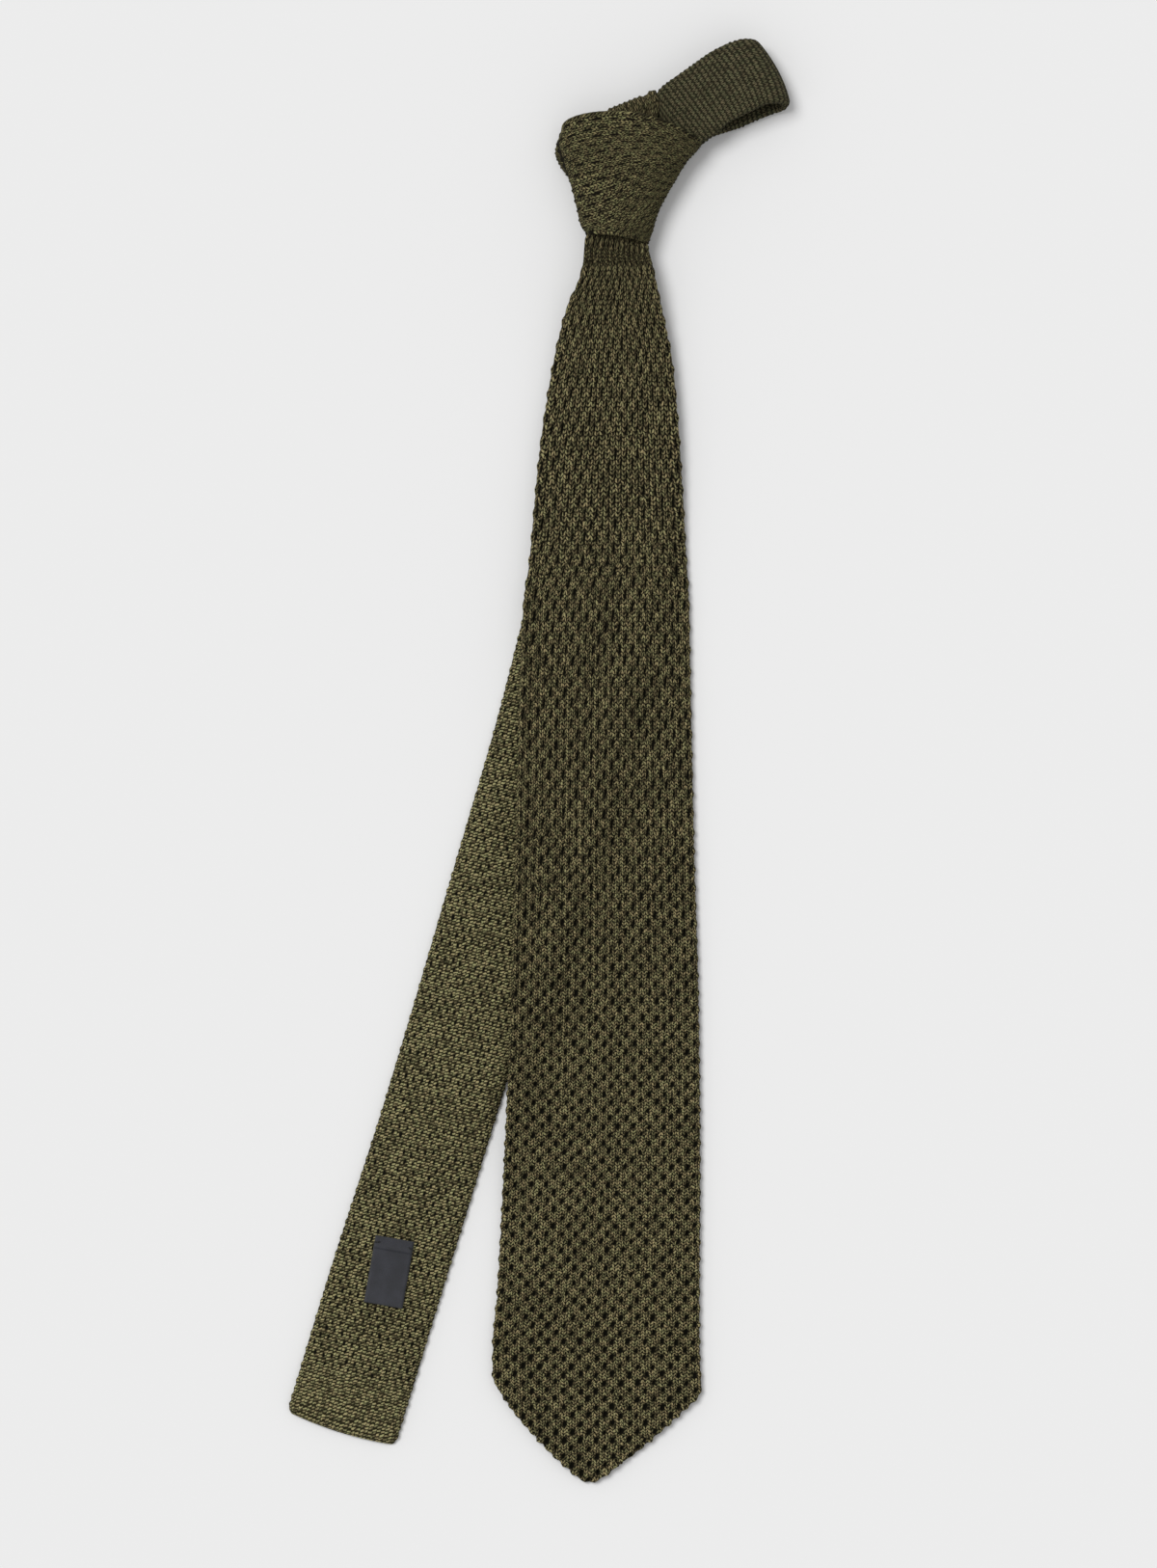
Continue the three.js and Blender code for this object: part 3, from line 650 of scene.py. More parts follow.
def hole_distance(t, lattice, holes, drift, period):
    """How far the nearest hole of the diamond lattice is, 1 at its edge, from the mesh's attributes."""
    moved = [t.math("SUBTRACT", lattice[axis], drift[axis]) for axis in range(2)]
    over = [t.wave(moved[axis], period[axis]) for axis in range(2)]

    def reach(sign):
        parts = [t.math("DIVIDE", t.math(sign, 1.0, over[axis]), holes[axis]) for axis in range(2)]
        squares = [t.math("MULTIPLY", part, part) for part in parts]
        return t.math("SQRT", t.math("ADD", *squares))

    nearest = t.math("MINIMUM", reach("SUBTRACT"), reach("ADD"))
    return t.math("DIVIDE", nearest, t.math("MAXIMUM", holes[2], LEAST_OPEN))


def wool_color(t, knit, tone, cloth, look):
    # Painted shade and light: the tone runs from dark, painted shade in the gaps between the strands, through
    # mid to bright, a painted highlight on the strands' crests.
    ramp = t.add("ShaderNodeValToRGB")
    t.put(tone, ramp.inputs[0])
    stops = ramp.color_ramp.elements
    stops[0].color = look["dark"]
    stops[1].color = look["bright"]
    stops.new(0.5).color = look["mid"]
    hue = t.noise(knit, 0.8, 2.0).outputs[0]
    tint = t.mix_color(t.range(hue, 0.3, 0.7), look["green"], look["brown"])
    color = t.mix_color(1.0, ramp.outputs[0], tint, "MULTIPLY")
    # Painted shade: where there is no cloth the holes take a near-black colour for the shadow seen through
    # them.
    return t.mix_color(t.range(cloth, 0.0, 0.6, 1.0, 0.0), color, look["deep"])


def knit_material(name, look):
    """Knitted wool: two legs to each loop, a shade of its own for each leg, and the holes between. Light and
    shade are painted into the colour: dark in the gaps between strands, a highlight on their crests,
    near-black in the holes, and darker round the holes, in the grooves between courses, in the furrows
    between drawn wales, on one leg of each loop and where the cloth is drawn narrow.
    """
    t = NodeTree(name)
    knit = t.add("ShaderNodeUVMap", uv_map="knit").outputs[0]
    holes, drift = (
        t.parts("ShaderNodeSeparateXYZ", t.add("ShaderNodeAttribute", attribute_name=field).outputs["Vector"])
        for field in ("holes", "drift"))
    aside, (wale, course), lattice = stray_places(t, knit, look)

    # Where the cloth is drawn narrow, only two legs in three come to the front
    width = t.math("MULTIPLY_ADD", aside, 0.5, drift[2])
    narrow = t.math("LESS_THAN", width, look["drawn"])
    loop, light = yarn_legs(
        t, t.math("MULTIPLY", wale, t.math("MULTIPLY_ADD", narrow, -1 / 3, 1.0)), course, look)

    melange = t.noise(knit, 1.9, 3.0).outputs[0]
    cloud = t.noise(knit, 0.09, 2.0).outputs[0]
    away = hole_distance(t, lattice, holes, drift, look["period"])
    away = t.math("MULTIPLY", away, t.range(melange, 0.25, 0.75, 1.2, 0.85, "LINEAR"))
    cloth = t.range(away, *look["hole"])
    height = t.math("MULTIPLY", loop, cloth)

    # Painted shade: darker round the holes and lighter on the swelling between them, darker in the grooves
    # between courses and in the furrows between drawn wales
    waves = [t.wave(lattice[axis], look["period"][axis]) for axis in range(2)]
    apart = t.math("MULTIPLY", t.math("ABSOLUTE", t.math("SUBTRACT", *waves)), 0.5)
    painted_groove_shade = t.math("POWER", t.math("MULTIPLY_ADD", t.wave(course, 1), 0.5, 0.5), 2.0)
    furrow = t.math("MULTIPLY_ADD", t.wave(lattice[0], look["period"][0] / 2), 0.5, 0.5)
    furrow = t.math("MULTIPLY", furrow, t.range(holes[0], 0.4, 0.2, 0.0, look["furrow"]))
    light = t.product(
        light,
        t.range(melange, 0.3, 0.7, 0.8, 1.2, "LINEAR"),
        t.range(cloud, 0.3, 0.7, 0.95, 1.05, "LINEAR"),
        # Painted shade where the wales are drawn narrow, as on the tongue inside the knot
        t.range(drift[2], 0.45, 0.75, 0.7, 1.0),
        t.range(apart, 0.0, 0.9, *look["bulge"]),
        t.math("MULTIPLY_ADD", painted_groove_shade, -look["painted_groove_shade"], 1.0),
        t.math("SUBTRACT", 1.0, furrow),
    )
    color = wool_color(t, knit, t.math("MULTIPLY", height, light), cloth, look)
    fibre = t.noise(knit, 7.0, 2.0).outputs[0]
    normal = t.bump(t.math("MULTIPLY_ADD", fibre, 0.2, height), look["bump"], YARN_HEIGHT)
    return t.finish(color, {**WOOL_FINISH, "Sheen Tint": look["bright"]}, normal)


YARN_HEIGHT = 0.5 * MM
WOOL_FINISH = {
    "Roughness": 0.92,
    "Specular IOR Level": 0.08,
    "Sheen Weight": 0.05,
    "Sheen Roughness": 0.5,
}
# Colours, with painted shade in the dark stop, a painted highlight in the bright stop and painted shade in
# the holes' colour, then the yarn's course and shape in wales and courses, then the holes, then the painted
# shade round the holes, in the grooves and in the furrows, and the bump
WOOL = {
    "dark": linear(15, 13, 6),
    "mid": linear(70, 65, 46),
    "bright": linear(144, 136, 99),
    "deep": linear(9, 8, 4),
    "green": (0.95, 1.02, 0.95, 1),
    "brown": (1.07, 0.98, 0.98, 1),
    "wander": 0.7,
    "curl": 0.4,
    "slant": 0.3,
    "spread": 0.15,
    "strand": 0.19,
    "gap": 3.0,
    "loose": 0.14,
    "stagger": 0.6,
    "drawn": 1.5,
    "dash": False,
    "shade": 0.6,
    "painted_leg_light": 0.1,
    "period": (3, 5),
    "uneven": 0.42,
    "jitter": 0.065,
    "slope": 0.12,
    "hole": (0.3, 1.4),
    "bulge": (0.8, 1.12),
    "painted_groove_shade": 0.0,
    "furrow": 0.25,
    "bump": 0.9,
}
WIDE_LOOK = dict(WOOL)
NARROW_LOOK = dict(
    WOOL,
    dark=linear(30, 28, 14),
    bright=linear(152, 146, 106),
    period=(2, 5),
    dash=True,
    slant=0.5,
    strand=0.37,
    gap=4.0,
    loose=0.3,
    stagger=0.0,
    drawn=0.0,
    slope=0.0,
    uneven=0.8,
    jitter=0.1,
    bulge=(0.8, 1.15),
    painted_groove_shade=0.15,
    furrow=0.0,
)
LOOP_LOOK = dict(
    WOOL,
    dark=linear(31, 30, 19),
    mid=linear(56, 54, 39),
    bright=linear(96, 92, 69),
    period=(2, 2),
    slant=0.25,
    strand=0.25,
    gap=2.4,
    loose=0.1,
    wander=0.4,
    stagger=0.0,
    drawn=0.0,
    bulge=(1.0, 1.0),
    painted_groove_shade=0.5,
    furrow=0.0,
)
WRAP_LOOK = dict(
    WOOL,
    dark=linear(19, 17, 9),
    deep=linear(15, 13, 7),
    bright=linear(128, 123, 87),
    period=(4, 4),
    painted_leg_light=0.3,
    slant=0.35,
    gap=2.4,
    drawn=0.0,
    slope=0.0,
    bulge=(0.88, 1.06),
    furrow=0.0,
)


EDGE_BUMP_REACH = 1.3 * MM
RIB = 0.1 * MM


def edge_bumps(wale, course, edge, period):
    """The small bumps along both edges, one to each row of holes and no two alike."""
    row = 2 * course / period[1]
    left = (wale < wale.mean(axis=1, keepdims=True)).astype(int)
    size = 1 + 0.8 * CHANCES[0, left, np.round(row).astype(int) % CHANCES.shape[2]]
    return size * np.cos(2 * np.pi * row) * np.exp(-((edge / EDGE_BUMP_REACH) ** 2))


def cloth_relief(wale, course, edge, fields, period, depth, swell, ridge):
    """How far the knit stands out: rounded wales, pillows of cloth, dents at the holes, a thicker edge."""
    loops = -RIB / 2 * np.cos(2 * np.pi * wale)
    dents = depth * hole_field(wale, course, period, fields)
    thicker = ridge * np.exp(-((edge / MM - 2) / 1.5) ** 2)
    furrow = 1.6 * ridge * np.exp(-(edge / MM - 5) ** 2)
    pillows = swell * bulge_field(wale, course, period)
    return loops + thicker - furrow + pillows - dents


# The narrow blade


TAPER_FROM = NARROW_ROWS[-3][0]


def narrow_sections():
    tail_at = np.linspace(0, 1, 12)
    tail = smooth_rows(numbered(TAIL_ROWS), tail_at)
    z = FIRST_LEVEL + SQUEEZED_THICK / 2
    left_in = knot_points(tail[:, 0], tail[:, 1], z)
    right_in = knot_points(tail[:, 2], tail[:, 3], z)
    at = np.concatenate([
        np.arange(NARROW_ROWS[0][0], TAPER_FROM, NARROW_COURSE / 1.5 / NARROW_LENGTH),
        mix(TAPER_FROM, 1, 1 - np.linspace(1, 0, 16) ** 2),
    ])
    down, aside, width, body = smooth_rows(NARROW_ROWS, at).T
    along = at * NARROW_LENGTH
    from_end = np.minimum(NARROW_LENGTH - along, CORNER_RADIUS)
    corner = CORNER_RADIUS - np.sqrt(CORNER_RADIUS ** 2 - (CORNER_RADIUS - from_end) ** 2)
    thick = body * mix(BLADE_THICK, SQUEEZED_THICK, ease(1 - along / SWELL_REACH))
    z = FIRST_LEVEL * ease(1 - along / RISE_REACH) + thick / 2
    middle = np.stack([KNOT_X - aside * NARROW_LENGTH, KNOT_Y - down * NARROW_LENGTH, z], axis=1)
    way = np.gradient(middle, axis=0)
    way[:, 2] = 0
    way = unit(way)
    half_width = width * NARROW_WIDTH / 2 - 0.9 * corner
    half = np.stack([-way[:, 1], way[:, 0], np.zeros(len(at))], axis=1) * half_width[:, None]
    bow = way * (END_BOW * ease((along - NARROW_LENGTH + 4 * CORNER_RADIUS) / (4 * CORNER_RADIUS)))[:, None]
    left = np.concatenate([left_in, middle - half])
    right = np.concatenate([right_in, middle + half])
    thick = np.concatenate([np.full(len(left_in), SQUEEZED_THICK), thick])
    bow = np.concatenate([np.zeros((len(left_in), 3)), bow])
    return left, right, thick, bow, (middle, half, thick[len(left_in):])


def course_places(left, right, course_length):
    """Each row's place in courses, from the length of the way to it."""
    middle = (left + right) / 2
    steps = np.linalg.norm(np.diff(middle, axis=0), axis=1)
    lengths = np.broadcast_to(course_length, (len(left),))
    mean = (lengths[1:] + lengths[:-1]) / 2
    return np.concatenate([[0], np.cumsum(steps / mean)])


def beside_narrow(course, x, y):
    """How far each point is beside the narrow blade, and how high that blade's upper face is there."""
    middle, half, thick = course
    keep = slice(None, None, 6)
    ends = middle[keep]
    widths = np.linalg.norm(half[keep], axis=1)
    tops = ends[:, 2] + thick[keep] / 2
    best = np.full(x.shape, np.inf)
    top = np.zeros(x.shape)
    for i in range(len(ends) - 1):
        a = ends[i, :2]
        step = ends[i + 1, :2] - a
        share = np.clip(((x - a[0]) * step[0] + (y - a[1]) * step[1]) / (step @ step), 0, 1)
        gap = np.hypot(x - a[0] - share * step[0], y - a[1] - share * step[1])
        gap = gap - mix(widths[i], widths[i + 1], share)
        nearer = gap < best
        best = np.where(nearer, gap, best)
        top = np.where(nearer, mix(tops[i], tops[i + 1], share), top)
    return best, top


# The wide blade


def fold_rows(left, right, way, outward, height, drift, steps):
    """Edges of sections round a half turn, out along a way and over or under."""
    turn = np.pi * np.arange(1, steps) / steps
    shift = np.outer(outward * np.sin(turn), way) + np.outer((1 - np.cos(turn)) / 2, drift)
    shift[:, 2] += height * (1 - np.cos(turn)) / 2
    return left + shift, right + shift


def wide_sections(course):
    at = [0.0]
    while at[-1] < WIDE_ROWS[-1][0] - 0.001:
        step = float(course_length(at[-1])) / ROWS_PER_COURSE / WIDE_LENGTH
        at.append(min(at[-1] + step, WIDE_ROWS[-1][0]))
    at = np.array(at)
    left_share, right_share, body = smooth_rows(WIDE_ROWS, at).T
    thick = body * BLADE_THICK
    y = TIP_Y + at * WIDE_LENGTH
    left = np.stack([left_share * WIDE_WIDTH, y, thick / 2], axis=1)
    right = np.stack([right_share * WIDE_WIDTH, y, thick / 2], axis=1)

    inner_at = np.linspace(0, 1, 34)
    inner = smooth_rows(numbered(TONGUE_ROWS), inner_at)
    z = mix(WIDE_LEVEL, TONGUE_LEVEL, inner[:, 4]) + SQUEEZED_THICK / 2
    left_in = knot_points(inner[:, 0], inner[:, 1], z)
    right_in = knot_points(inner[:, 2], inner[:, 3], z)
    side = unit(right_in[-1] - left_in[-1])
    way = np.array([-side[1], side[0], 0])
    drop = FIRST_LEVEL - TONGUE_LEVEL
    fold_left, fold_right = fold_rows(left_in[-1], right_in[-1], way, -drop / 2, drop, np.zeros(3), 18)
    shift = np.array([[0, -length, drop] for length in np.linspace(0, TURNED_LENGTH, 6)])
    left = np.concatenate([left, left_in, fold_left, left_in[-1] + shift])
    right = np.concatenate([right, right_in, fold_right, right_in[-1] + shift])
    inner_count = len(left) - len(at)
    thick = np.concatenate([thick, np.full(inner_count, SQUEEZED_THICK)])

    def lift(x, y):
        lifted = np.zeros(x.shape)
        out = slice(0, len(at))
        beside, top = beside_narrow(course, x[out], y[out])
        cover = ease(1 - (beside - DRAPE_MARGIN) / DRAPE_REACH)
        near_knot = ease(2 - (KNOT_Y - y[out]) / MOUTH_REACH)
        lifted[out] = mix((top + BLADE_GAP) * cover, WIDE_LEVEL, near_knot)
        return lifted

    return left, right, thick, lift, at


def course_length(at):
    """How long one course of the wide blade is: longer where the blade is drawn narrow."""
    return mix(WIDE_COURSE, DRAWN_COURSE, ease((np.asarray(at, float) - 0.25) / 0.7))


def wide_fields(wale, course, edge, pitch):
    """Round holes near the point, which draw out into slits towards the knot and close inside it."""
    slit = ease((course - SLIT_FROM) / (SLIT_TO - SLIT_FROM))
    across = 1 - np.cos(np.pi * mix(HOLE_SHARE, SLIT_SHARE, slit))
    openness = np.where(edge < EDGE_REACH, EDGE_OPENNESS, 1)
    openness = openness * ease((course[-1, 0] - course - SHUT_COURSES) / OPENING_COURSES)
    openness = openness * mix(1, UPPER_OPENNESS, ease((course - 30) / 40))
    return knit_fields(wale, course, pitch, WIDE_LOOK, across, mix(0.6, 1.15, slit), openness)


def build_wide(course, material):
    left, right, thick, lift, at = wide_sections(course)
    width = np.linalg.norm(right - left, axis=1)
    radius = np.minimum(thick / 2, width / 3)
    contour = width - 2 * radius + math.pi * radius
    corner = int(np.argmin(abs(at - POINT_FROM)))
    pitch = contour / WIDE_WALES
    pitch[:corner] = pitch[corner]
    middle = (left[:, 0] + right[:, 0]) / 2
    shift = np.zeros(len(left))
    shift[:corner] = middle[:corner] - middle[corner]
    at_all = np.concatenate([at, np.ones(len(left) - len(at))])
    lengths = course_length(at_all)
    places = course_places(left, right, lengths)
    knit = {
        "wales": WIDE_WALES,
        "under": 20,
        "fields": wide_fields,
        "look": WIDE_LOOK,
        "scallop": mix(0.42, 0.16, ease((at_all - 0.06) / 0.02))[:, None] * MM,
        "relief": (1.1 * MM, 0.35 * MM, 0.4 * MM),
        "held": "folded",
        "rests_on": ["narrow_blade_knit", "knot_wrap_knit"],
    }
    return knit_strip("wide_blade_knit", left, right, thick, pitch, places, knit, material, lift, shift)


# The plain strip's half width in wales, and how many courses from the square end the holes begin
PLAIN_WALES = 3
PLAIN_COURSES = 14


def narrow_fields(wale, course, edge, pitch):
    """Small holes beside a plain strip down the middle, and none near the square end."""
    out = abs(wale % (2 * NARROW_WALES) - NARROW_WALES / 2)
    end = course[-1, 0] - course
    openness = ease((out - PLAIN_WALES) / 2) * ease((end - PLAIN_COURSES) / 6)
    openness = openness * np.where(edge < MM, EDGE_OPENNESS, 1)
    return knit_fields(wale, course, pitch, NARROW_LOOK, 0.3, 0.3, openness)


def build_narrow(sections, material):
    left, right, thick, bow = sections
    width = np.linalg.norm(right - left, axis=1)
    pitch = (width - thick + math.pi * thick / 2) / NARROW_WALES
    pitch[-20:] = pitch[-20]
    places = course_places(left, right, NARROW_COURSE)
    knit = {
        "wales": NARROW_WALES,
        "under": 16,
        "fields": narrow_fields,
        "look": NARROW_LOOK,
        "held": "laid",
        "rests_on": ["knot_wrap_knit"],
        "scallop": 0.16 * MM,
        "relief": (0.5 * MM, 0.2 * MM, 0.25 * MM),
    }
    return knit_strip("narrow_blade_knit", left, right, thick, pitch, places, knit, material, bow=bow)


# The neck loop


def loop_layer(rows, far, at_left, at_right, count):
    along_left, aside_left, along_right, aside_right, lift, free = smooth_rows(
        numbered(rows), np.linspace(0, 1, count)).T
    way = np.array([math.cos(LOOP_ANGLE), math.sin(LOOP_ANGLE), 0])
    aside = np.array([way[1], -way[0], 0])
    mouth = np.array([MOUTH_X, MOUTH_Y, 0])
    band = mix(MOUTH_BAND, BAND_WIDTH, free)
    thick = mix(SQUEEZED_THICK, BAND_THICK, free)

    def edge(along, aside_share, mouth_z):
        points = mouth + np.outer(along * LOOP_LENGTH, way) + np.outer(aside_share * band, aside)
        points[:, 2] = mix(far, mouth_z, lift) + thick / 2
        return points

    return edge(along_left, aside_left, at_left), edge(along_right, aside_right, at_right), thick


def build_loop(material):
    rise = BAND_THICK + LOOP_GAP
    count = 70
    low_left, low_right, low_thick = loop_layer(LOWER_ROWS, 0, FIRST_LEVEL, FIRST_LEVEL, count)
    top_left, top_right, top_thick = loop_layer(
        UPPER_ROWS, rise, TONGUE_LEVEL - CLEARANCE, FIRST_LEVEL + LAYER_STEP + MOUTH_RISE, count)
    way = np.array([math.cos(FOLD_ANGLE), math.sin(FOLD_ANGLE), 0])
    drift = (top_left[-1] + top_right[-1] - low_left[-1] - low_right[-1]) / 2
    drift[2] = 0
    fold_left, fold_right = fold_rows(low_left[-1], low_right[-1], way, rise / 2, rise, drift, 24)
    left = np.concatenate([low_left, fold_left, top_left[::-1]])
    right = np.concatenate([low_right, fold_right, top_right[::-1]])
    thick = np.concatenate([low_thick, np.full(len(fold_left), BAND_THICK), top_thick[::-1]])
    width = np.linalg.norm(right - left, axis=1)
    pitch = (width - thick + math.pi * thick / 2) / LOOP_WALES
    places = course_places(left, right, LOOP_COURSE)
    knit = {
        "wales": LOOP_WALES,
        "under": 40,
        "fields": lambda wale, course, edge, pitch: knit_fields(
            wale, course, pitch, LOOP_LOOK, 0.3, 0.3, 0.05),
        "held": "folded",
        "rests_on": ["knot_wrap_knit"],
        "look": LOOP_LOOK,
        "scallop": 0.2 * MM,
        "relief": (0.3 * MM, 0, 0.25 * MM),
    }
    along = np.concatenate([np.linspace(0, 1, count), np.ones(len(fold_left)), np.linspace(1, 0, count)])
    bow = np.outer(LOOP_BOW * ease((along - 0.4) / 0.6), way)
    return knit_strip("neck_loop_knit", left, right, thick, pitch, places, knit, material, bow=bow)


# The wrap

WRAP_COLUMNS = 300
WRAP_ROWS_UP = 110
RIM_ROWS = 12
RIM_REACH = 0.022
# How square the section is in front and behind, as the power of a superellipse
FRONT_POWER = 2.8
BACK_POWER = 4


def wrap_surface(cosine, sine):
    """The wrap's points, rows up its outer side, over the upper rim, down the inner side and round the lower
    rim, with each row's share of the height and depth into the band, each point's share of the width, and
    how strong each row's fold is."""
    outer = np.linspace(0, 1, WRAP_ROWS_UP)
    inner = outer[::-4]
    bend = np.linspace(0, np.pi, RIM_ROWS + 1)[1:-1]
    at = np.concatenate([outer, 1 + RIM_REACH * np.sin(bend), inner, -RIM_REACH * np.sin(bend)])
    depth = np.concatenate([
        np.zeros(len(outer)), 0.5 - 0.5 * np.cos(bend), np.ones(len(inner)), 0.5 + 0.5 * np.cos(bend)])
    held = np.clip(at, 0, 1)
    left_x, left_y, right_x, right_y, dome, growth = smooth_rows(WRAP_ROWS, held).T
    left = knot_points(left_x, left_y, 0)
    right = knot_points(right_x, right_y, 0)
    half_width = ((right[:, 0] - left[:, 0]) / 2)[:, None]
    half_height = (mix(KNOT_LOW_HEIGHT, KNOT_TOP_HEIGHT, growth) / 2)[:, None]
    inset = (depth * WRAP_THICK)[:, None]
    power = 2 / np.where(sine >= 0, FRONT_POWER, BACK_POWER)
    fold_share = np.sqrt(np.maximum(0, -sine)) * np.maximum(0, cosine)
    fold_reach = ease(1 - abs(held - BACK_FOLD_PLACE) / BACK_FOLD_REACH)[:, None]
    fold = 2 * BACK_FOLD * fold_share * fold_reach * (1 - depth[:, None])
    across = -np.sign(cosine) * abs(cosine) ** power * (half_width - inset) - fold
    share = np.clip((across + half_width) / (2 * half_width), 0, 1)
    dome_power = np.where(share < 0.5, 0.6, 1.2)
    dome_rise = dome[:, None] * np.maximum(4 * share * (1 - share), 0) ** dome_power
    x = (left[:, :1] + right[:, :1]) / 2 + across
    y = mix(left[:, 1:2], right[:, 1:2], share) + ((at - held)[:, None] + dome_rise) * KNOT_LENGTH
    z = half_height + np.sign(sine) * abs(sine) ** power * (half_height - inset)
    return np.stack([x, y, z], axis=-1), held, depth, share, fold_reach


def build_wrap(material):
    turn = 2 * np.pi * np.arange(WRAP_COLUMNS) / WRAP_COLUMNS
    cosine, sine = np.cos(turn)[None, :], np.sin(turn)[None, :]
    points, held, depth, share, fold_reach = wrap_surface(cosine, sine)

    # Rows of stitches run across, level at the left, and draw together at the upper right corner
    gather = 0.5
    level = 1 - (1 - held[:, None]) / (1 - gather * share ** 2.2)
    wale = level * WRAP_WALES
    steps = np.linalg.norm(np.diff(points, axis=1, append=points[:, :1]), axis=2)
    course = np.concatenate([np.zeros((len(held), 1)), np.cumsum(steps, axis=1)], axis=1) / WRAP_COURSE
    # Painted shade and a dent: along the back fold's crease the openness is raised, so the crease takes the
    # holes' painted dark shade and is dented.
    crease = fold_reach * (cosine > 0) * (1 - depth[:, None])
    openness = 1 + CREASE_DENT_AND_SHADE * crease * np.exp(-((sine / 0.025) ** 2))
    fields = knit_fields(wale, course[:, :-1], WRAP_COURSE, WRAP_LOOK, 0.05, 1.2, openness)
    dents = hole_field(wale, course[:, :-1], WRAP_LOOK["period"], fields)
    pillows = bulge_field(wale, course[:, :-1], WRAP_LOOK["period"])
    relief = 0.25 * MM * pillows - 0.3 * MM * dents - RIB / 2 * np.cos(2 * np.pi * wale)
    relief = relief * (1 - depth[:, None])
    normals = -unit(np.cross(
        np.roll(points, -1, axis=1) - np.roll(points, 1, axis=1),
        np.roll(points, -1, axis=0) - np.roll(points, 1, axis=0)))
    points = points + normals * relief[..., None]
    points[..., 2] = np.maximum(points[..., 2], 0)

    rows, columns = points.shape[:2]
    index = np.pad(np.arange(rows * columns).reshape(rows, columns), ((0, 1), (0, 1)), mode="wrap")
    quads = grid_corners(index).reshape(-1, 4)
    knit = np.stack([np.concatenate([wale, wale[:, :1]], axis=1), course], axis=-1)
    knit = np.concatenate([knit, knit[:1]])
    none = np.zeros((0, 3), int)
    no_places = np.zeros((0, 2))
    maps = {
        "knit": (grid_corners(knit), no_places),
        "OFBake": (flat_corners(rows + 1, columns + 1, 0.995), no_places),
    }
    piece = make_object("knot_wrap_knit", points.reshape(-1, 3), quads, none, maps, material, fields)
    return piece


# The label

# From its free lower end to the folded and sewn end: at, body, curl
LABEL_ROWS = [
    (0, 0.9, 1),
    (0.2, 0.9, 0.5),
    (0.5, 0.9, 0.05),
    (0.8, 0.9, 0),
    (0.83, 1.5, 0),
    (0.9, 1.3, 0),
    (1, 1.4, 0),
]
LABEL_COLUMNS = 28
LABEL_EDGE = 0.3 * MM
TACK_RADIUS = 0.3 * MM
TACK_REACH = 1.3 * MM
TACK_SIDES = 8
TACK_STEPS = 13


def label_place():
    """The label's middle on the narrow blade, and the way it runs, up towards the knot."""
    before, place, after = smooth_rows(NARROW_ROWS, [LABEL_PLACE - 0.01, LABEL_PLACE, LABEL_PLACE + 0.01])
    middle = np.array([KNOT_X - place[1] * NARROW_LENGTH, KNOT_Y - place[0] * NARROW_LENGTH, 0])
    way = unit(np.array([after[1] - before[1], after[0] - before[0], 0]))
    cosine, sine = math.cos(LABEL_TWIST), math.sin(LABEL_TWIST)
    way = np.array([cosine * way[0] - sine * way[1], sine * way[0] + cosine * way[1], 0])
    return middle, way, np.array([way[1], -way[0], 0])


def build_label(material):
    middle, way, across = label_place()
    at = np.concatenate([[0, 0.004], np.linspace(0.01, 0.99, 96), [0.996, 1]])
    body, curl = smooth_rows(LABEL_ROWS, at).T
    end = np.minimum(at, 1 - at) * LABEL_LENGTH
    rounded = np.sqrt(np.clip(1 - (1 - end / LABEL_EDGE) ** 2, 0.05, 1))
    blunt = np.where(end < LABEL_EDGE, rounded, 1)
    thick = body * LABEL_THICK * blunt
    z = BLADE_THICK + CLEARANCE + curl * LABEL_CURL + body * LABEL_THICK / 2
    centre = middle + np.outer((at - 0.5) * LABEL_LENGTH, way)
    centre[:, 2] = z
    half = across * LABEL_WIDTH / 2
    points, unrolled, unrolled_under = strip_points(centre - half, centre + half, thick, LABEL_COLUMNS, 10)
    side = np.concatenate([unrolled, -unrolled_under - LABEL_WIDTH], axis=1)
    side = np.concatenate([side, side[:, :1] - 2 * LABEL_WIDTH], axis=1) / MM
    along = np.broadcast_to((at * LABEL_LENGTH / MM)[:, None], side.shape)
    piece = tube_object("label_ribbon", points, side, along, material)
    return piece


def build_tacks(material):
    """Two stitches of thread that hold the label's upper corners, as one piece."""
    middle, way, across = label_place()
    top = BLADE_THICK + CLEARANCE + 1.4 * LABEL_THICK
    turn = 2 * np.pi * np.arange(TACK_SIDES) / TACK_SIDES
    steps = np.linspace(-1, 1, TACK_STEPS)
    points, quads, triangles = [], [], []
    for side, up, tilt in [(-0.42, 0.405, 0.2), (0.45, 0.385, -0.45)]:
        run = across * math.cos(tilt) + way * math.sin(tilt)
        over = np.array([-run[1], run[0], 0])
        centre = middle + across * side * LABEL_WIDTH + way * up * LABEL_LENGTH
        circle = np.outer(np.cos(turn), over) + np.outer(np.sin(turn), (0, 0, 1))
        index = sum(map(len, points)) + np.arange(TACK_STEPS * TACK_SIDES).reshape(TACK_STEPS, TACK_SIDES)
        for step in steps:
            spot = centre + run * step * TACK_REACH
            height = top + 0.12 * MM - 0.9 * MM * step ** 4
            radius = TACK_RADIUS * (1 - 0.5 * step ** 8)
            points.append(spot + circle * radius + np.array([0, 0, height]))
        quads.append(grid_corners(np.pad(index, ((0, 0), (0, 1)), mode="wrap")).reshape(-1, 4))
        first, last = index[0], index[-1]
        for j in range(1, TACK_SIDES - 1):
            triangles.append((first[0], first[j + 1], first[j]))
            triangles.append((last[0], last[j], last[j + 1]))
    points = np.concatenate(points)
    quads = np.concatenate(quads)
    triangles = np.array(triangles)
    spread = points[:, :2] / MM
    maps = {"knit": (spread[quads], spread[triangles])}
    return make_object("label_tacks", points, quads, triangles, maps, material)


RIBBON_HEIGHT = 0.06 * MM
RIBBON_FINISH = {"Roughness": 0.62, "Specular IOR Level": 0.3, "Sheen Weight": 0.1}


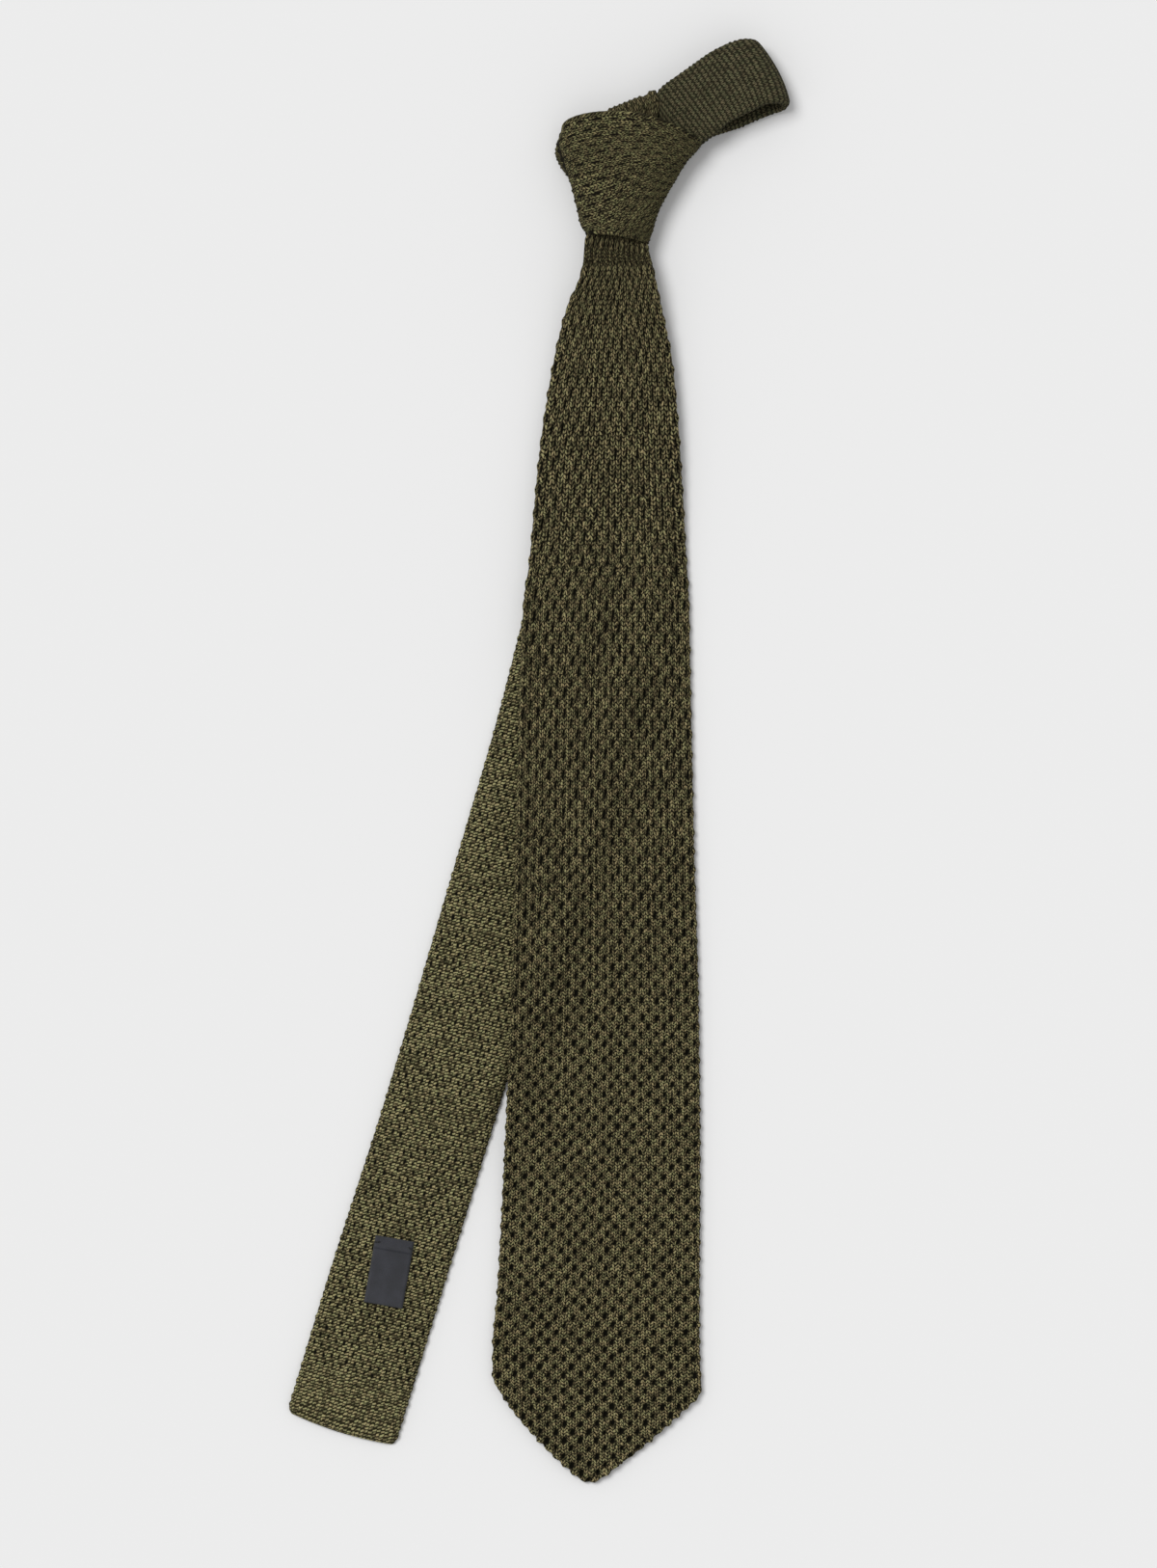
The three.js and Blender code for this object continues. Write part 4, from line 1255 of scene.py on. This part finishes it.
def ribbon_material(name, color, dark, rib):
    """Fine woven ribbon or thread, with ribs across it. Its map is in millimetres."""
    t = NodeTree(name)
    place = t.add("ShaderNodeUVMap", uv_map="knit").outputs[0]
    side, along, _ = t.parts("ShaderNodeSeparateXYZ", place)
    weave = t.math(
        "MULTIPLY",
        t.math("SINE", t.math("MULTIPLY", side, 2 * math.pi / rib)),
        t.math("SINE", t.math("MULTIPLY", along, 2 * math.pi / (rib * 0.8))))
    grain = t.noise(place, 3.0, 3.0).outputs[0]
    cloud = t.noise(place, 0.18, 2.0).outputs[0]
    tone = t.math("MULTIPLY_ADD", weave, 0.18, grain)
    tone = t.math("ADD", tone, t.range(cloud, 0.3, 0.7, -0.15, 0.15, "LINEAR"))
    shaded = t.mix_color(t.range(tone, 0.1, 0.9), dark, color)
    return t.finish(shaded, RIBBON_FINISH, t.bump(tone, 0.5, RIBBON_HEIGHT))


# Build the tie

wide_wool = knit_material("wide_blade_wool", WIDE_LOOK)
narrow_wool = knit_material("narrow_blade_wool", NARROW_LOOK)
loop_wool = knit_material("neck_loop_wool", LOOP_LOOK)
wrap_wool = knit_material("knot_wrap_wool", WRAP_LOOK)

*narrow_strip, narrow_course = narrow_sections()
wide = build_wide(narrow_course, wide_wool)
narrow = build_narrow(narrow_strip, narrow_wool)
loop = build_loop(loop_wool)
wrap = build_wrap(wrap_wool)
label = build_label(ribbon_material("label_weave", linear(43, 44, 51), linear(27, 28, 32), 0.5))
tacks = build_tacks(ribbon_material("tack_thread", linear(16, 16, 18), linear(8, 8, 9), 0.3))

for piece, node, slot in [
    (wide, "wide_blade", "wide_blade_knit"),
    (narrow, "narrow_blade", "narrow_blade_knit"),
    (loop, "neck_loop", "neck_loop_knit"),
    (wrap, "knot_wrap", "knot_wrap_knit"),
    (label, "label", "label_ribbon"),
]:
    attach(piece, "root")
    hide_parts(node)
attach(tacks, "root")

# Floor, light and camera

FLOOR_REACH = 3.0
PAPER = (0.735, 0.735, 0.735, 1)
WORLD_STRENGTH = 0.62
SUN_STRENGTH = 1.9
SUN_ANGLE = math.radians(28)
SUN_WAY = (0.45, -0.36, -1.0)
CAMERA_HEIGHT = 3.0
SENSOR = 24
# The picture's size in pixels, the size of a pixel, and where the tie's middle line and tip are in it
PICTURE_WIDTH, PICTURE_HEIGHT = 1200, 1626
PIXEL = 0.35 * MM
MIDDLE_COLUMN = 621.5
TIP_ROW = 1535

floor_mesh = bpy.data.meshes.new("floor")
floor_corners = [(-1, -1, 0), (1, -1, 0), (1, 1, 0), (-1, 1, 0)]
floor_mesh.from_pydata([Vector(corner) * FLOOR_REACH for corner in floor_corners], [], [(0, 1, 2, 3)])
floor = bpy.data.objects.new("floor", floor_mesh)
bpy.context.scene.collection.objects.link(floor)
PAPER_FINISH = {"Roughness": 1.0, "Specular IOR Level": 0.0}
floor_mesh.materials.append(NodeTree("floor_paper").finish(PAPER, PAPER_FINISH))

world = bpy.data.worlds.new("studio")
world.use_nodes = True
world.node_tree.nodes["Background"].inputs["Color"].default_value = (1, 1, 1, 1)
world.node_tree.nodes["Background"].inputs["Strength"].default_value = WORLD_STRENGTH
bpy.context.scene.world = world

sun_light = bpy.data.lights.new("window", "SUN")
sun_light.energy = SUN_STRENGTH
sun_light.angle = SUN_ANGLE
sun = bpy.data.objects.new("window", sun_light)
sun.rotation_euler = Vector(SUN_WAY).to_track_quat("-Z", "Y").to_euler()
bpy.context.scene.collection.objects.link(sun)

camera_data = bpy.data.cameras.new("camera")
camera_data.sensor_fit = "VERTICAL"
camera_data.sensor_height = SENSOR
camera_data.lens = SENSOR * CAMERA_HEIGHT / (PICTURE_HEIGHT * PIXEL)
camera = bpy.data.objects.new("camera", camera_data)
camera.location = (
    (PICTURE_WIDTH / 2 - MIDDLE_COLUMN) * PIXEL,
    (TIP_ROW - PICTURE_HEIGHT / 2) * PIXEL - REST_FROM_TIP,
    CAMERA_HEIGHT,
)
bpy.context.scene.collection.objects.link(camera)
bpy.context.scene.camera = camera
bpy.context.scene.view_settings.view_transform = "Standard"
